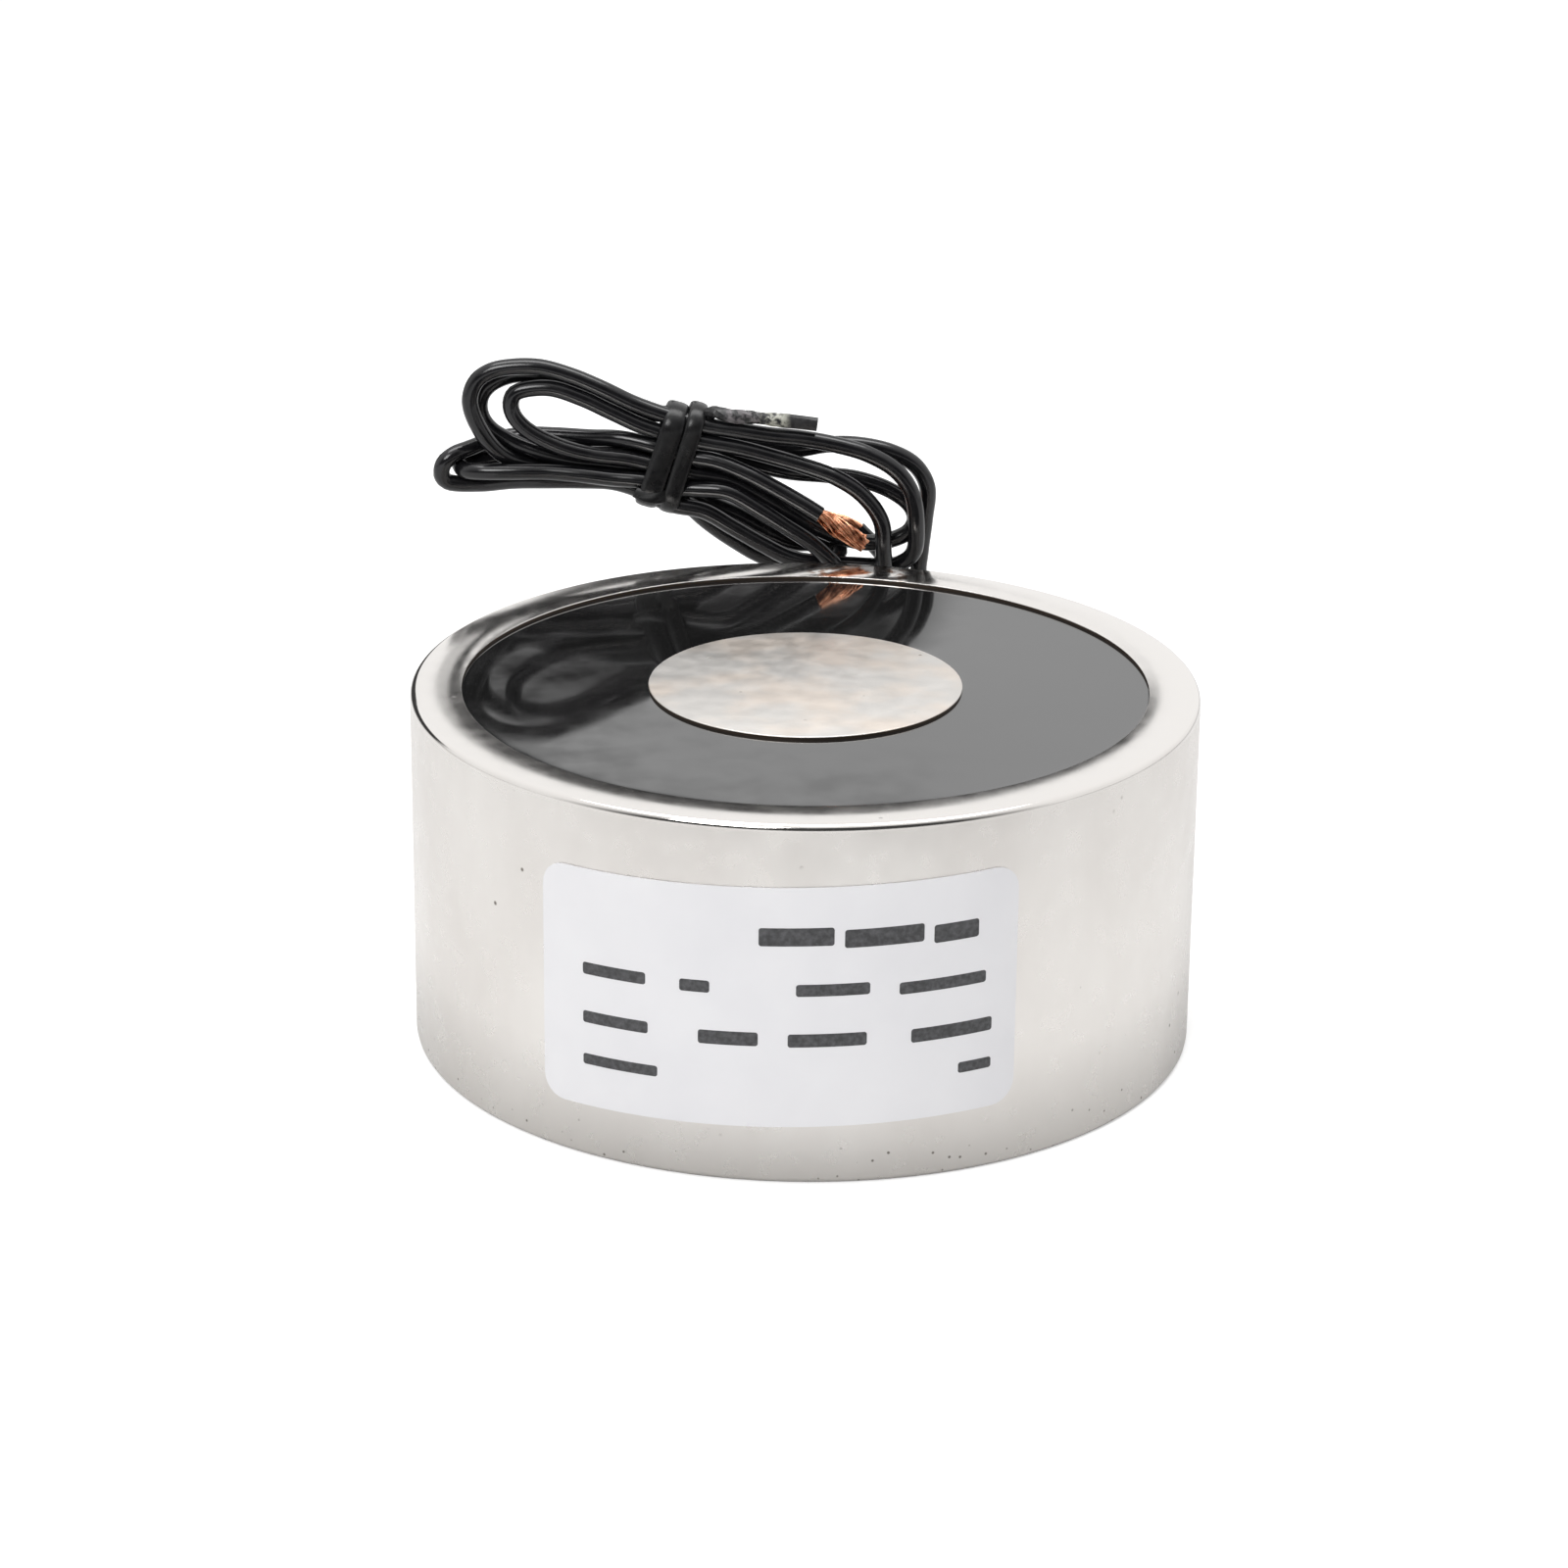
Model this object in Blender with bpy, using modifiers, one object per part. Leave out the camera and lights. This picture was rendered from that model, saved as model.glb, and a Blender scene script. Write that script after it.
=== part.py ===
"""Holding electromagnet: a turned steel pot with a potted coil and two leads tied in a hank.

Metres, +Z up. The origin is the centre of the base face, the pole faces look up, the label
looks towards -Y, and the leads leave through the wall behind it, on the +Y side.
"""
import math

import bmesh
import bpy
from mathutils import Matrix, Vector

# The pot, turned from one bar
POT_RADIUS = 0.0325
POT_HEIGHT = 0.030
WALL = POT_RADIUS * 0.13
FLOOR = 0.0055
CORE_RADIUS = POT_RADIUS * 0.398
EDGE_CHAMFER = 0.0005
POLE_CHAMFER = 0.00015

# The tapped hole in the base
TAP_DRILL_RADIUS = 0.0034
TAP_DEPTH = 0.012
TAP_MOUTH = 0.0009
DRILL_POINT_SLOPE = math.radians(31)

# Room left between pieces that touch or lie against each other
SEAT_GAP = 0.0003

# The potting resin
RESIN_DROP = 0.0005
RESIN_COVER = 0.0026
RESIN_CREEP = 0.00012
RESIN_CREEP_WIDTH = 0.0006

# The bobbin and what is wound on it
BOBBIN_WALL = 0.001
FLANGE_THICKNESS = 0.001
WIRE_SPACE = 0.00305
FLANGE_STAND = 0.0003
TAPE_THICKNESS = 0.0003
SLOT_WIDTH = 0.0012
TAIL_RADIUS = 0.00025

# The leads and the way they leave the pot
LEAD_RADIUS = 0.00075
LEAD_PITCH = 0.0018
LEAD_BEND = 0.0034
CONDUCTOR_RADIUS = 0.0005
CONDUCTOR_LENGTH = 0.005
STRAIGHT_OUT = 5 * LEAD_RADIUS
EXIT_ANGLE = math.radians(26)
EXIT_FLOOR_ROOM = 0.0002
SLEEVE_WALL = 0.0006
SLEEVE_OUTSIDE = 0.0025
SLEEVE_INSIDE = 0.0011

# The soldered joints between the leads and the winding's tails
JOINT_ANGLE = math.radians(24.5)
JOINT_INSET = 0.0018
JOINT_SLEEVE_LENGTH = 0.0086
JOINT_SLEEVE_RADIUS = 0.0011
JOINT_SLEEVE_WALL = 0.0003
SOLDER_RADIUS = 0.0005
SOLDER_INSET = 0.0005
WINDOW_ANGLE = math.radians(54)
TAIL_ANGLE = math.radians(46)

# How the tails run on between the coil and the joints: shares of the tail's angle and of its rise
START_TAIL_MARKS = ((0.95, 0.25), (0.86, 0.75))
FINISH_TAIL_MARKS = ((1.08, 0.6), (0.98, 0.4), (0.86, 0.1))

# The label on the wall
LABEL_WIDTH = 0.0396
LABEL_HEIGHT = 0.020
LABEL_CENTRE_HEIGHT = 0.0149
LABEL_TURN = math.radians(-3.8)
LABEL_SLANT = math.radians(1.5)
LABEL_CORNER = 0.0020
LABEL_THICKNESS = 0.0002
LABEL_GAP = 0.0002

# The hank of both leads, which stands behind the pot
HANK_STAND_OFF = 0.0023
HANK_DEPTH = 0.0038
HANK_EDGE = 0.0011
TIE_CENTRE = (-0.0118, 0.0382)
TIE_SLOPE = math.radians(-15.7)
TIE_BUNDLE_HALF = 0.0046
TIE_WIDTH = 0.0034
TIE_THICKNESS = 0.0006
TIE_TAIL_WIDTH = 0.0014
TIE_TAIL_TURNS = 1.5

# Where the hank's straight waist has its points, in widths of the tie from the tie's middle
WAIST_MARKS = (-1.2, -0.6, 0.6, 1.2)

# Facets
POT_STEPS = 96
RING_STEPS = 72
SMALL_STEPS = 20
LABEL_STEPS = 60
WINDOW_STEPS = 24
CORNER_STEPS = 4
CORD_RESOLUTION = 2
CORD_SPACING = 0.003
SMOOTH_ANGLE = math.radians(35)

# What follows from the driving values
CAVITY_RADIUS = POT_RADIUS - WALL
BOBBIN_BORE = CORE_RADIUS + SEAT_GAP
BOBBIN_BOTTOM = FLOOR + SEAT_GAP
RESIN_TOP = POT_HEIGHT - RESIN_DROP
RESIN_UNDERSIDE = RESIN_TOP - RESIN_COVER
BOBBIN_TOP = RESIN_UNDERSIDE - SEAT_GAP
FLANGE_RADIUS = CAVITY_RADIUS - WIRE_SPACE
TAPE_RADIUS = FLANGE_RADIUS - FLANGE_STAND
WINDING_RADIUS = TAPE_RADIUS - TAPE_THICKNESS - SEAT_GAP
WINDING_BOTTOM = BOBBIN_BOTTOM + FLANGE_THICKNESS + SEAT_GAP
WINDING_TOP = BOBBIN_TOP - FLANGE_THICKNESS - SEAT_GAP
SLEEVE_BORE = LEAD_PITCH / 2 + LEAD_RADIUS + SEAT_GAP
SLEEVE_RADIUS = SLEEVE_BORE + SLEEVE_WALL
EXIT_HOLE_RADIUS = SLEEVE_RADIUS + SEAT_GAP
EXIT_HEIGHT = FLOOR + EXIT_HOLE_RADIUS + EXIT_FLOOR_ROOM
JOINT_RADIUS = CAVITY_RADIUS - JOINT_INSET
HANK_FRONT = POT_RADIUS + HANK_STAND_OFF
HANK_MIDDLE = HANK_FRONT + HANK_DEPTH / 2
HANK_BACK = HANK_FRONT + HANK_DEPTH

# The pair of leads from the exit to the hank: across, behind the pot's back, up, and how far the
# pair has turned about a standing line, in degrees
PAIR_ROUTE = [
    (0.0179, 0.0038, 0.0098, 28),
    (0.0184, 0.0048, 0.0124, 36),
    (0.0178, 0.0049, 0.0156, 50),
    (0.0158, 0.0045, 0.0186, 68),
    (0.0122, 0.0042, 0.0217, 88),
]

# The outer shape of the hank beyond the tie, clockwise from below the left end: across and up
HANK_LEFT = [
    (-0.0212, 0.0342),
    (-0.0284, 0.0340),
    (-0.0326, 0.0352),
    (-0.0342, 0.0383),
    (-0.0334, 0.0425),
    (-0.0306, 0.0460),
    (-0.0256, 0.0476),
    (-0.0192, 0.0460),
]
HANK_RIGHT = [
    (-0.0030, 0.0419),
    (0.0040, 0.0410),
    (0.0092, 0.0386),
    (0.0120, 0.0342),
    (0.0119, 0.0285),
    (0.0112, 0.0180),
    (0.0102, 0.0070),
    (0.0088, 0.0020),
    (0.0064, 0.0005),
    (0.0039, 0.0020),
    (0.0025, 0.0070),
    (0.0012, 0.0150),
    (-0.0012, 0.0225),
    (-0.0048, 0.0283),
]

# Where the bare ends start, and which way they point, in the plane of the hank
BARE_END_FRONT = ((0.0013, 0.0326), math.radians(-21))
BARE_END_BACK = ((0.0013, 0.0318), math.radians(-23))

# The tie's tail, from the front of the band: across, in front of the band, up
TIE_TAIL_ROUTE = [
    (-0.0106, 0.0001, 0.0416),
    (-0.0089, 0.0007, 0.0432),
    (-0.0067, 0.0009, 0.0434),
    (-0.0045, 0.0009, 0.0431),
    (-0.0014, 0.0008, 0.0429),
    (0.0008, 0.0008, 0.0424),
]


def clear_scene():
    for old in list(bpy.data.objects):
        bpy.data.objects.remove(old, do_unlink=True)


def new_collection(name):
    made = bpy.data.collections.new(name)
    bpy.context.scene.collection.children.link(made)
    return made


def new_material(name, colour, roughness, metallic):
    made = bpy.data.materials.new(name)
    made.use_nodes = True
    shader = made.node_tree.nodes["Principled BSDF"]
    shader.inputs["Base Color"].default_value = (*colour, 1.0)
    shader.inputs["Roughness"].default_value = roughness
    shader.inputs["Metallic"].default_value = metallic
    return made


def place_in(made, collection):
    for home in list(made.users_collection):
        home.objects.unlink(made)
    collection.objects.link(made)
    return made


def finish_piece(piece, material):
    piece.data.materials.clear()
    piece.data.materials.append(material)
    return piece


def shade_round(piece):
    piece.data.shade_smooth()
    piece.data.set_sharp_from_angle(angle=SMOOTH_ANGLE)


def mesh_object(name, work, collection):
    mesh = bpy.data.meshes.new(name)
    work.to_mesh(mesh)
    work.free()
    made = bpy.data.objects.new(name, mesh)
    collection.objects.link(made)
    return made


def turned(name, profile, steps, closed, collection):
    """A profile of (radius, height) points turned about Z, down its outer side first."""
    work = bmesh.new()
    corners = [work.verts.new((radius, 0.0, height)) for radius, height in profile]
    for one, two in zip(corners, corners[1:]):
        work.edges.new((one, two))
    if closed:
        work.edges.new((corners[-1], corners[0]))
    made = mesh_object(name, work, collection)
    screw = made.modifiers.new("Turn", "SCREW")
    screw.axis = "Z"
    screw.angle = 2 * math.pi
    screw.steps = steps
    screw.render_steps = steps
    screw.use_merge_vertices = True
    screw.merge_threshold = 0.00001
    screw.use_smooth_shade = True
    return made


def curve_object(name, lines, closed, collection):
    """A curve with one straight-sided spline for each line of points."""
    curve = bpy.data.curves.new(name, "CURVE")
    for points in lines:
        spline = curve.splines.new("POLY")
        spline.points.add(len(points) - 1)
        for point, place in zip(spline.points, points):
            point.co = (*place, 1.0)
        spline.use_cyclic_u = closed
    made = bpy.data.objects.new(name, curve)
    collection.objects.link(made)
    return made


def as_mesh(source, collection):
    """The curve's solid as a mesh object of the same name, with its caps welded on."""
    bpy.context.view_layer.update()
    seen = source.evaluated_get(bpy.context.evaluated_depsgraph_get())
    mesh = bpy.data.meshes.new_from_object(seen)
    work = bmesh.new()
    work.from_mesh(mesh)
    bmesh.ops.remove_doubles(work, verts=work.verts, dist=0.000001)
    work.to_mesh(mesh)
    work.free()
    name = source.name
    matrix = source.matrix_world.copy()
    bpy.data.objects.remove(source, do_unlink=True)
    made = bpy.data.objects.new(name, mesh)
    made.matrix_world = matrix
    collection.objects.link(made)
    return made


def plate(name, lines, thickness, collection, edge=0.0):
    """A flat outline in the XY plane, thickened both ways, with an inner outline as a hole.

    The edge is the radius to which its rim is rounded, inside the outline.
    """
    flat = [[(x, y, 0.0) for x, y in points] for points in lines]
    made = curve_object(name, flat, True, collection)
    made.data.dimensions = "2D"
    made.data.fill_mode = "BOTH"
    made.data.extrude = thickness / 2 - edge
    made.data.bevel_depth = edge
    made.data.bevel_resolution = 1
    made.data.offset = -edge
    return as_mesh(made, collection)


def tube(name, points, radius, collection):
    made = curve_object(name, [points], False, collection)
    made.data.dimensions = "3D"
    made.data.bevel_depth = radius
    made.data.bevel_resolution = CORD_RESOLUTION
    made.data.use_fill_caps = True
    return made


def curve_point(before, start, end, after, share):
    """A point on the smooth curve between start and end, which heeds both their neighbours."""
    leave = (end - before) / 2
    arrive = (after - start) / 2
    square = share * share
    cube = square * share
    return (
        start * (2 * cube - 3 * square + 1)
        + leave * (cube - 2 * square + share)
        + end * (3 * square - 2 * cube)
        + arrive * (cube - square)
    )


def smooth_line(route, spacing, closed):
    """Points a spacing apart or less on a smooth curve through the route's points."""
    marks = [Vector(place) for place in route]
    count = len(marks)
    spans = count if closed else count - 1
    line = []
    for index in range(spans):
        start = marks[index]
        end = marks[(index + 1) % count]
        before = marks[index - 1] if closed or index else start * 2 - end
        if closed or index + 2 < count:
            after = marks[(index + 2) % count]
        else:
            after = end * 2 - start
        pieces = max(1, math.ceil((end - start).length / spacing))
        for step in range(pieces):
            line.append(curve_point(before, start, end, after, step / pieces))
    if not closed:
        line.append(marks[-1])
    return line


def arc(centre, radius, start, end, pieces):
    """Points of an arc in a plane, from one angle to another."""
    steps = [start + (end - start) * step / pieces for step in range(pieces + 1)]
    return [(centre[0] + radius * math.cos(a), centre[1] + radius * math.sin(a)) for a in steps]


def rounded_rectangle(half_width, half_height, corner):
    outline = []
    for turn, across, up in ((0, 1, 1), (1, -1, 1), (2, -1, -1), (3, 1, -1)):
        centre = (across * (half_width - corner), up * (half_height - corner))
        start = turn * math.pi / 2
        outline += arc(centre, corner, start, start + math.pi / 2, CORNER_STEPS)
    return outline


def hide_cutter(cutter):
    cutter.hide_render = True
    cutter.display_type = "WIRE"


def combine(piece, other, operation):
    boolean = piece.modifiers.new(other.name, "BOOLEAN")
    boolean.operation = operation
    boolean.solver = "EXACT"
    boolean.object = other
    hide_cutter(other)


def exit_frame():
    """Turns the local axes so that X runs along the wall, Y out of the exit and Z up."""
    return Matrix.Rotation(-EXIT_ANGLE, 4, "Z") @ Matrix.Translation((0, 0, EXIT_HEIGHT))


def at_exit(across, out, up=0.0):
    return exit_frame() @ Vector((across, out, up))


def around(radius, angle, height, side):
    """A point in the wiring space, by its angle from the exit to one side."""
    turn = side * angle
    return at_exit(radius * math.sin(turn), radius * math.cos(turn), height - EXIT_HEIGHT)


def joint_frame(side):
    """Stands the local Z axis along the soldered joint on one side of the exit."""
    turn = Matrix.Rotation(-side * JOINT_ANGLE, 4, "Z")
    middle = Matrix.Translation((0, JOINT_RADIUS, 0))
    return exit_frame() @ turn @ middle @ Matrix.Rotation(side * math.pi / 2, 4, "Y")


def build_pot(parts, cutters, finish):
    tap_end = TAP_DEPTH + TAP_DRILL_RADIUS * math.tan(DRILL_POINT_SLOPE)
    profile = [
        (0.0, POT_HEIGHT),
        (CORE_RADIUS - POLE_CHAMFER, POT_HEIGHT),
        (CORE_RADIUS, POT_HEIGHT - POLE_CHAMFER),
        (CORE_RADIUS, FLOOR),
        (CAVITY_RADIUS, FLOOR),
        (CAVITY_RADIUS, POT_HEIGHT - POLE_CHAMFER),
        (CAVITY_RADIUS + POLE_CHAMFER, POT_HEIGHT),
        (POT_RADIUS - EDGE_CHAMFER, POT_HEIGHT),
        (POT_RADIUS, POT_HEIGHT - EDGE_CHAMFER),
        (POT_RADIUS, EDGE_CHAMFER),
        (POT_RADIUS - EDGE_CHAMFER, 0.0),
        (TAP_DRILL_RADIUS + TAP_MOUTH, 0.0),
        (TAP_DRILL_RADIUS, TAP_MOUTH),
        (TAP_DRILL_RADIUS, TAP_DEPTH),
        (0.0, tap_end),
    ]
    pot = turned("pot_housing", profile, POT_STEPS, False, parts)
    combine(pot, exit_hole(cutters), "DIFFERENCE")
    return finish_piece(pot, finish)


def exit_hole(cutters):
    depth = WALL * 2
    bpy.ops.mesh.primitive_cylinder_add(vertices=SMALL_STEPS * 2, radius=EXIT_HOLE_RADIUS, depth=depth)
    hole = place_in(bpy.context.object, cutters)
    hole.name = "exit_hole"
    middle = Matrix.Translation((0, CAVITY_RADIUS + WALL / 2, 0))
    hole.matrix_world = exit_frame() @ middle @ Matrix.Rotation(math.pi / 2, 4, "X")
    return hole


def build_bobbin(parts, cutters, finish):
    tube_radius = BOBBIN_BORE + BOBBIN_WALL
    profile = [
        (BOBBIN_BORE, BOBBIN_TOP),
        (FLANGE_RADIUS, BOBBIN_TOP),
        (FLANGE_RADIUS, BOBBIN_TOP - FLANGE_THICKNESS),
        (tube_radius, BOBBIN_TOP - FLANGE_THICKNESS),
        (tube_radius, BOBBIN_BOTTOM + FLANGE_THICKNESS),
        (FLANGE_RADIUS, BOBBIN_BOTTOM + FLANGE_THICKNESS),
        (FLANGE_RADIUS, BOBBIN_BOTTOM),
        (BOBBIN_BORE, BOBBIN_BOTTOM),
    ]
    bobbin = turned("coil_bobbin", profile, RING_STEPS, True, parts)
    combine(bobbin, flange_slot(cutters, tube_radius), "DIFFERENCE")
    return finish_piece(bobbin, finish)


def flange_slot(cutters, tube_radius):
    """The slot in the lower flange, in which the start of the winding runs out."""
    length = FLANGE_RADIUS - tube_radius
    bpy.ops.mesh.primitive_cube_add(size=1)
    slot = place_in(bpy.context.object, cutters)
    slot.name = "flange_slot"
    size = Matrix.Diagonal((SLOT_WIDTH, length, FLANGE_THICKNESS * 2, 1))
    middle = Vector((0, tube_radius + length / 2 + SEAT_GAP, 0))
    turn = Matrix.Rotation(-(EXIT_ANGLE + TAIL_ANGLE), 4, "Z")
    height = Matrix.Translation((0, 0, BOBBIN_BOTTOM + FLANGE_THICKNESS / 2))
    slot.matrix_world = height @ turn @ Matrix.Translation(middle) @ size
    return slot


def build_winding(parts, finish):
    inner = BOBBIN_BORE + BOBBIN_WALL + SEAT_GAP
    profile = [
        (inner, WINDING_TOP),
        (WINDING_RADIUS, WINDING_TOP),
        (WINDING_RADIUS, WINDING_BOTTOM),
        (inner, WINDING_BOTTOM),
    ]
    winding = turned("coil_winding", profile, RING_STEPS, True, parts)
    return finish_piece(winding, finish)


def build_tape(parts, finish):
    inner = TAPE_RADIUS - TAPE_THICKNESS
    profile = [
        (inner, WINDING_TOP),
        (TAPE_RADIUS, WINDING_TOP),
        (TAPE_RADIUS, WINDING_BOTTOM),
        (inner, WINDING_BOTTOM),
    ]
    tape = turned("winding_tape", profile, RING_STEPS, True, parts)
    return finish_piece(tape, finish)


def build_resin(parts, cutters, finish):
    """The resin over the coil and round it, with the space that the wires run in left open."""
    inner = CORE_RADIUS + SEAT_GAP
    outer = CAVITY_RADIUS - SEAT_GAP
    skirt_inner = FLANGE_RADIUS + SEAT_GAP
    skirt_bottom = FLOOR + SEAT_GAP
    profile = [
        (inner, RESIN_TOP + RESIN_CREEP),
        (inner + RESIN_CREEP_WIDTH, RESIN_TOP),
        (outer - RESIN_CREEP_WIDTH, RESIN_TOP),
        (outer, RESIN_TOP + RESIN_CREEP),
        (outer, skirt_bottom),
        (skirt_inner, skirt_bottom),
        (skirt_inner, RESIN_UNDERSIDE),
        (inner, RESIN_UNDERSIDE),
    ]
    resin = turned("potting_resin", profile, POT_STEPS, True, parts)
    combine(resin, wiring_window(cutters), "DIFFERENCE")
    return finish_piece(resin, finish)


def wiring_window(cutters):
    """The stretch of the skirt that is left out for the joints, their tails and the leads."""
    reach = CAVITY_RADIUS + SEAT_GAP
    near = FLANGE_RADIUS * math.cos(WINDOW_ANGLE) - SEAT_GAP
    middle = math.pi / 2 - EXIT_ANGLE
    outline = arc((0, 0), reach, middle - WINDOW_ANGLE, middle + WINDOW_ANGLE, WINDOW_STEPS)
    outline += arc((0, 0), near, middle + WINDOW_ANGLE, middle - WINDOW_ANGLE, WINDOW_STEPS)
    top = EXIT_HEIGHT + EXIT_HOLE_RADIUS + SEAT_GAP
    window = plate("wiring_window", [outline], top - FLOOR, cutters)
    window.location.z = (top + FLOOR) / 2
    return window


def build_joint(letter, side, parts, sleeve_finish, solder_finish):
    half = JOINT_SLEEVE_LENGTH / 2
    bore = JOINT_SLEEVE_RADIUS - JOINT_SLEEVE_WALL
    profile = [(bore, half), (JOINT_SLEEVE_RADIUS, half), (JOINT_SLEEVE_RADIUS, -half), (bore, -half)]
    sleeve = turned("joint_sleeve_" + letter, profile, SMALL_STEPS, True, parts)
    sleeve.matrix_world = joint_frame(side)
    finish_piece(sleeve, sleeve_finish)
    end = half - SOLDER_INSET
    shoulder = SOLDER_RADIUS / 2
    solder_profile = [
        (0.0, end),
        (shoulder, end),
        (SOLDER_RADIUS, end - shoulder),
        (SOLDER_RADIUS, shoulder - end),
        (shoulder, -end),
        (0.0, -end),
    ]
    solder = turned("soldered_joint_" + letter, solder_profile, SMALL_STEPS, False, parts)
    solder.matrix_world = joint_frame(side)
    finish_piece(solder, solder_finish)


def joint_end(side, far):
    """The middle of a joint sleeve's end, the far one or the one next to the exit."""
    reach = JOINT_SLEEVE_LENGTH / 2 + SEAT_GAP
    return joint_frame(side) @ Vector((0, 0, reach if far else -reach))


def build_tails(parts, finish):
    ring = (FLANGE_RADIUS + CAVITY_RADIUS) / 2
    slot_height = BOBBIN_BOTTOM + FLANGE_THICKNESS / 2
    first_layer = BOBBIN_BORE + BOBBIN_WALL + SEAT_GAP + TAIL_RADIUS
    rise = EXIT_HEIGHT - slot_height
    start_route = [
        around(first_layer + SEAT_GAP, TAIL_ANGLE, slot_height, 1),
        around((first_layer + FLANGE_RADIUS) / 2, TAIL_ANGLE, slot_height, 1),
        around(FLANGE_RADIUS, TAIL_ANGLE, slot_height, 1),
    ]
    for turn, share in START_TAIL_MARKS:
        start_route.append(around(ring, TAIL_ANGLE * turn, slot_height + rise * share, 1))
    start_route.append(joint_end(1, True))
    start = tube("coil_start_tail", smooth_line(start_route, TAIL_RADIUS * 4, False), TAIL_RADIUS, parts)
    finish_piece(start, finish)
    skin = TAPE_RADIUS + SEAT_GAP + TAIL_RADIUS
    finish_route = []
    for reach, (turn, share) in zip((skin, (skin + ring) / 2, ring), FINISH_TAIL_MARKS):
        finish_route.append(around(reach, TAIL_ANGLE * turn, EXIT_HEIGHT + rise * share, -1))
    finish_route.append(joint_end(-1, True))
    end = tube("coil_finish_tail", smooth_line(finish_route, TAIL_RADIUS * 4, False), TAIL_RADIUS, parts)
    finish_piece(end, finish)


def build_exit_sleeve(parts, finish):
    inside = POT_RADIUS - WALL + SLEEVE_INSIDE
    outside = POT_RADIUS + SLEEVE_OUTSIDE
    profile = [
        (SLEEVE_BORE, outside),
        (SLEEVE_RADIUS, outside),
        (SLEEVE_RADIUS, inside),
        (SLEEVE_BORE, inside),
    ]
    sleeve = turned("exit_sleeve", profile, SMALL_STEPS * 2, True, parts)
    sleeve.matrix_world = exit_frame() @ Matrix.Rotation(-math.pi / 2, 4, "X")
    return finish_piece(sleeve, finish)


def lead_route(side):
    """From the joint inside, round a bend, out through the sleeve and up to the hank."""
    lane = LEAD_PITCH / 2
    bend = (lane + LEAD_BEND, JOINT_RADIUS + LEAD_BEND + SEAT_GAP / 2)
    route = [joint_end(side, False)]
    for across, out in arc(bend, LEAD_BEND, -math.pi / 2, -math.pi, CORNER_STEPS):
        route.append(at_exit(side * across, out))
    for reach in (SLEEVE_OUTSIDE, SLEEVE_OUTSIDE + STRAIGHT_OUT):
        route.append(at_exit(side * lane, POT_RADIUS + reach))
    for across, behind, up, turn in PAIR_ROUTE:
        angle = math.radians(turn)
        offset = Vector((math.cos(angle), -math.sin(angle), 0)) * side * lane
        route.append(Vector((across, POT_RADIUS + behind, up)) + offset)
    return route


def build_lead(letter, side, parts, finish):
    line = smooth_line(lead_route(side), CORD_SPACING, False)
    return finish_piece(tube("lead_" + letter, line, LEAD_RADIUS, parts), finish)


def hank_outline():
    """The outer shape of the hank, with a straight waist where the tie holds it."""
    along = Vector((math.cos(TIE_SLOPE), math.sin(TIE_SLOPE)))
    up = Vector((-along.y, along.x)) * TIE_BUNDLE_HALF
    waist = [along * TIE_WIDTH * reach for reach in WAIST_MARKS]
    middle = Vector(TIE_CENTRE)
    lower = [middle - up + reach for reach in reversed(waist)]
    upper = [middle + up + reach for reach in waist]
    shape = [*lower, *HANK_LEFT, *upper, *HANK_RIGHT]
    flat = [(x, z, 0.0) for x, z in shape]
    return [(point.x, point.y) for point in smooth_line(flat, CORD_SPACING, True)]


def build_hank(parts, finish):
    hank = plate("lead_hank", [hank_outline()], HANK_DEPTH, parts, HANK_EDGE)
    hank.rotation_euler = (math.pi / 2, 0, 0)
    hank.location.y = HANK_MIDDLE
    return finish_piece(hank, finish)


def build_bare_end(letter, place, depth, parts, finish):
    """The stripped end of a lead, a straight bundle of strands beside the hank."""
    (across, up), slope = place
    start = Vector((across, depth, up))
    along = Vector((math.cos(slope), 0, math.sin(slope)))
    points = [start, start + along * CONDUCTOR_LENGTH]
    return finish_piece(tube("conductor_end_" + letter, points, CONDUCTOR_RADIUS, parts), finish)


def tie_tail(cutters):
    """The tie's loose end: a flat strip with round edges, twisted along its route."""
    front = HANK_FRONT - SEAT_GAP - TIE_THICKNESS
    route = [(across, front - out, up) for across, out, up in TIE_TAIL_ROUTE]
    line = smooth_line(route, TIE_TAIL_WIDTH / 2, False)
    tail = curve_object("tie_tail", [line], False, cutters)
    tail.data.dimensions = "3D"
    tail.data.extrude = (TIE_TAIL_WIDTH - TIE_THICKNESS) / 2
    tail.data.bevel_depth = TIE_THICKNESS / 2
    tail.data.bevel_resolution = 1
    tail.data.use_fill_caps = True
    points = tail.data.splines[0].points
    for index, point in enumerate(points):
        point.tilt = TIE_TAIL_TURNS * 2 * math.pi * index / (len(points) - 1)
    return as_mesh(tail, cutters)


def build_tie(parts, cutters, finish):
    inner_up = TIE_BUNDLE_HALF + SEAT_GAP
    inner_deep = HANK_DEPTH / 2 + SEAT_GAP
    corner = HANK_EDGE + SEAT_GAP
    inner = rounded_rectangle(inner_deep, inner_up, corner)
    outer = rounded_rectangle(
        inner_deep + TIE_THICKNESS, inner_up + TIE_THICKNESS, corner + TIE_THICKNESS
    )
    tie = plate("hank_tie", [outer, inner], TIE_WIDTH, parts)
    across, up = TIE_CENTRE
    stand = Matrix.Rotation(-TIE_SLOPE, 4, "Y") @ Matrix.Rotation(math.pi / 2, 4, "Z")
    stand = stand @ Matrix.Rotation(math.pi / 2, 4, "X")
    tie.matrix_world = Matrix.Translation((across, HANK_MIDDLE, up)) @ stand
    combine(tie, tie_tail(cutters), "UNION")
    return finish_piece(tie, finish)


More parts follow.
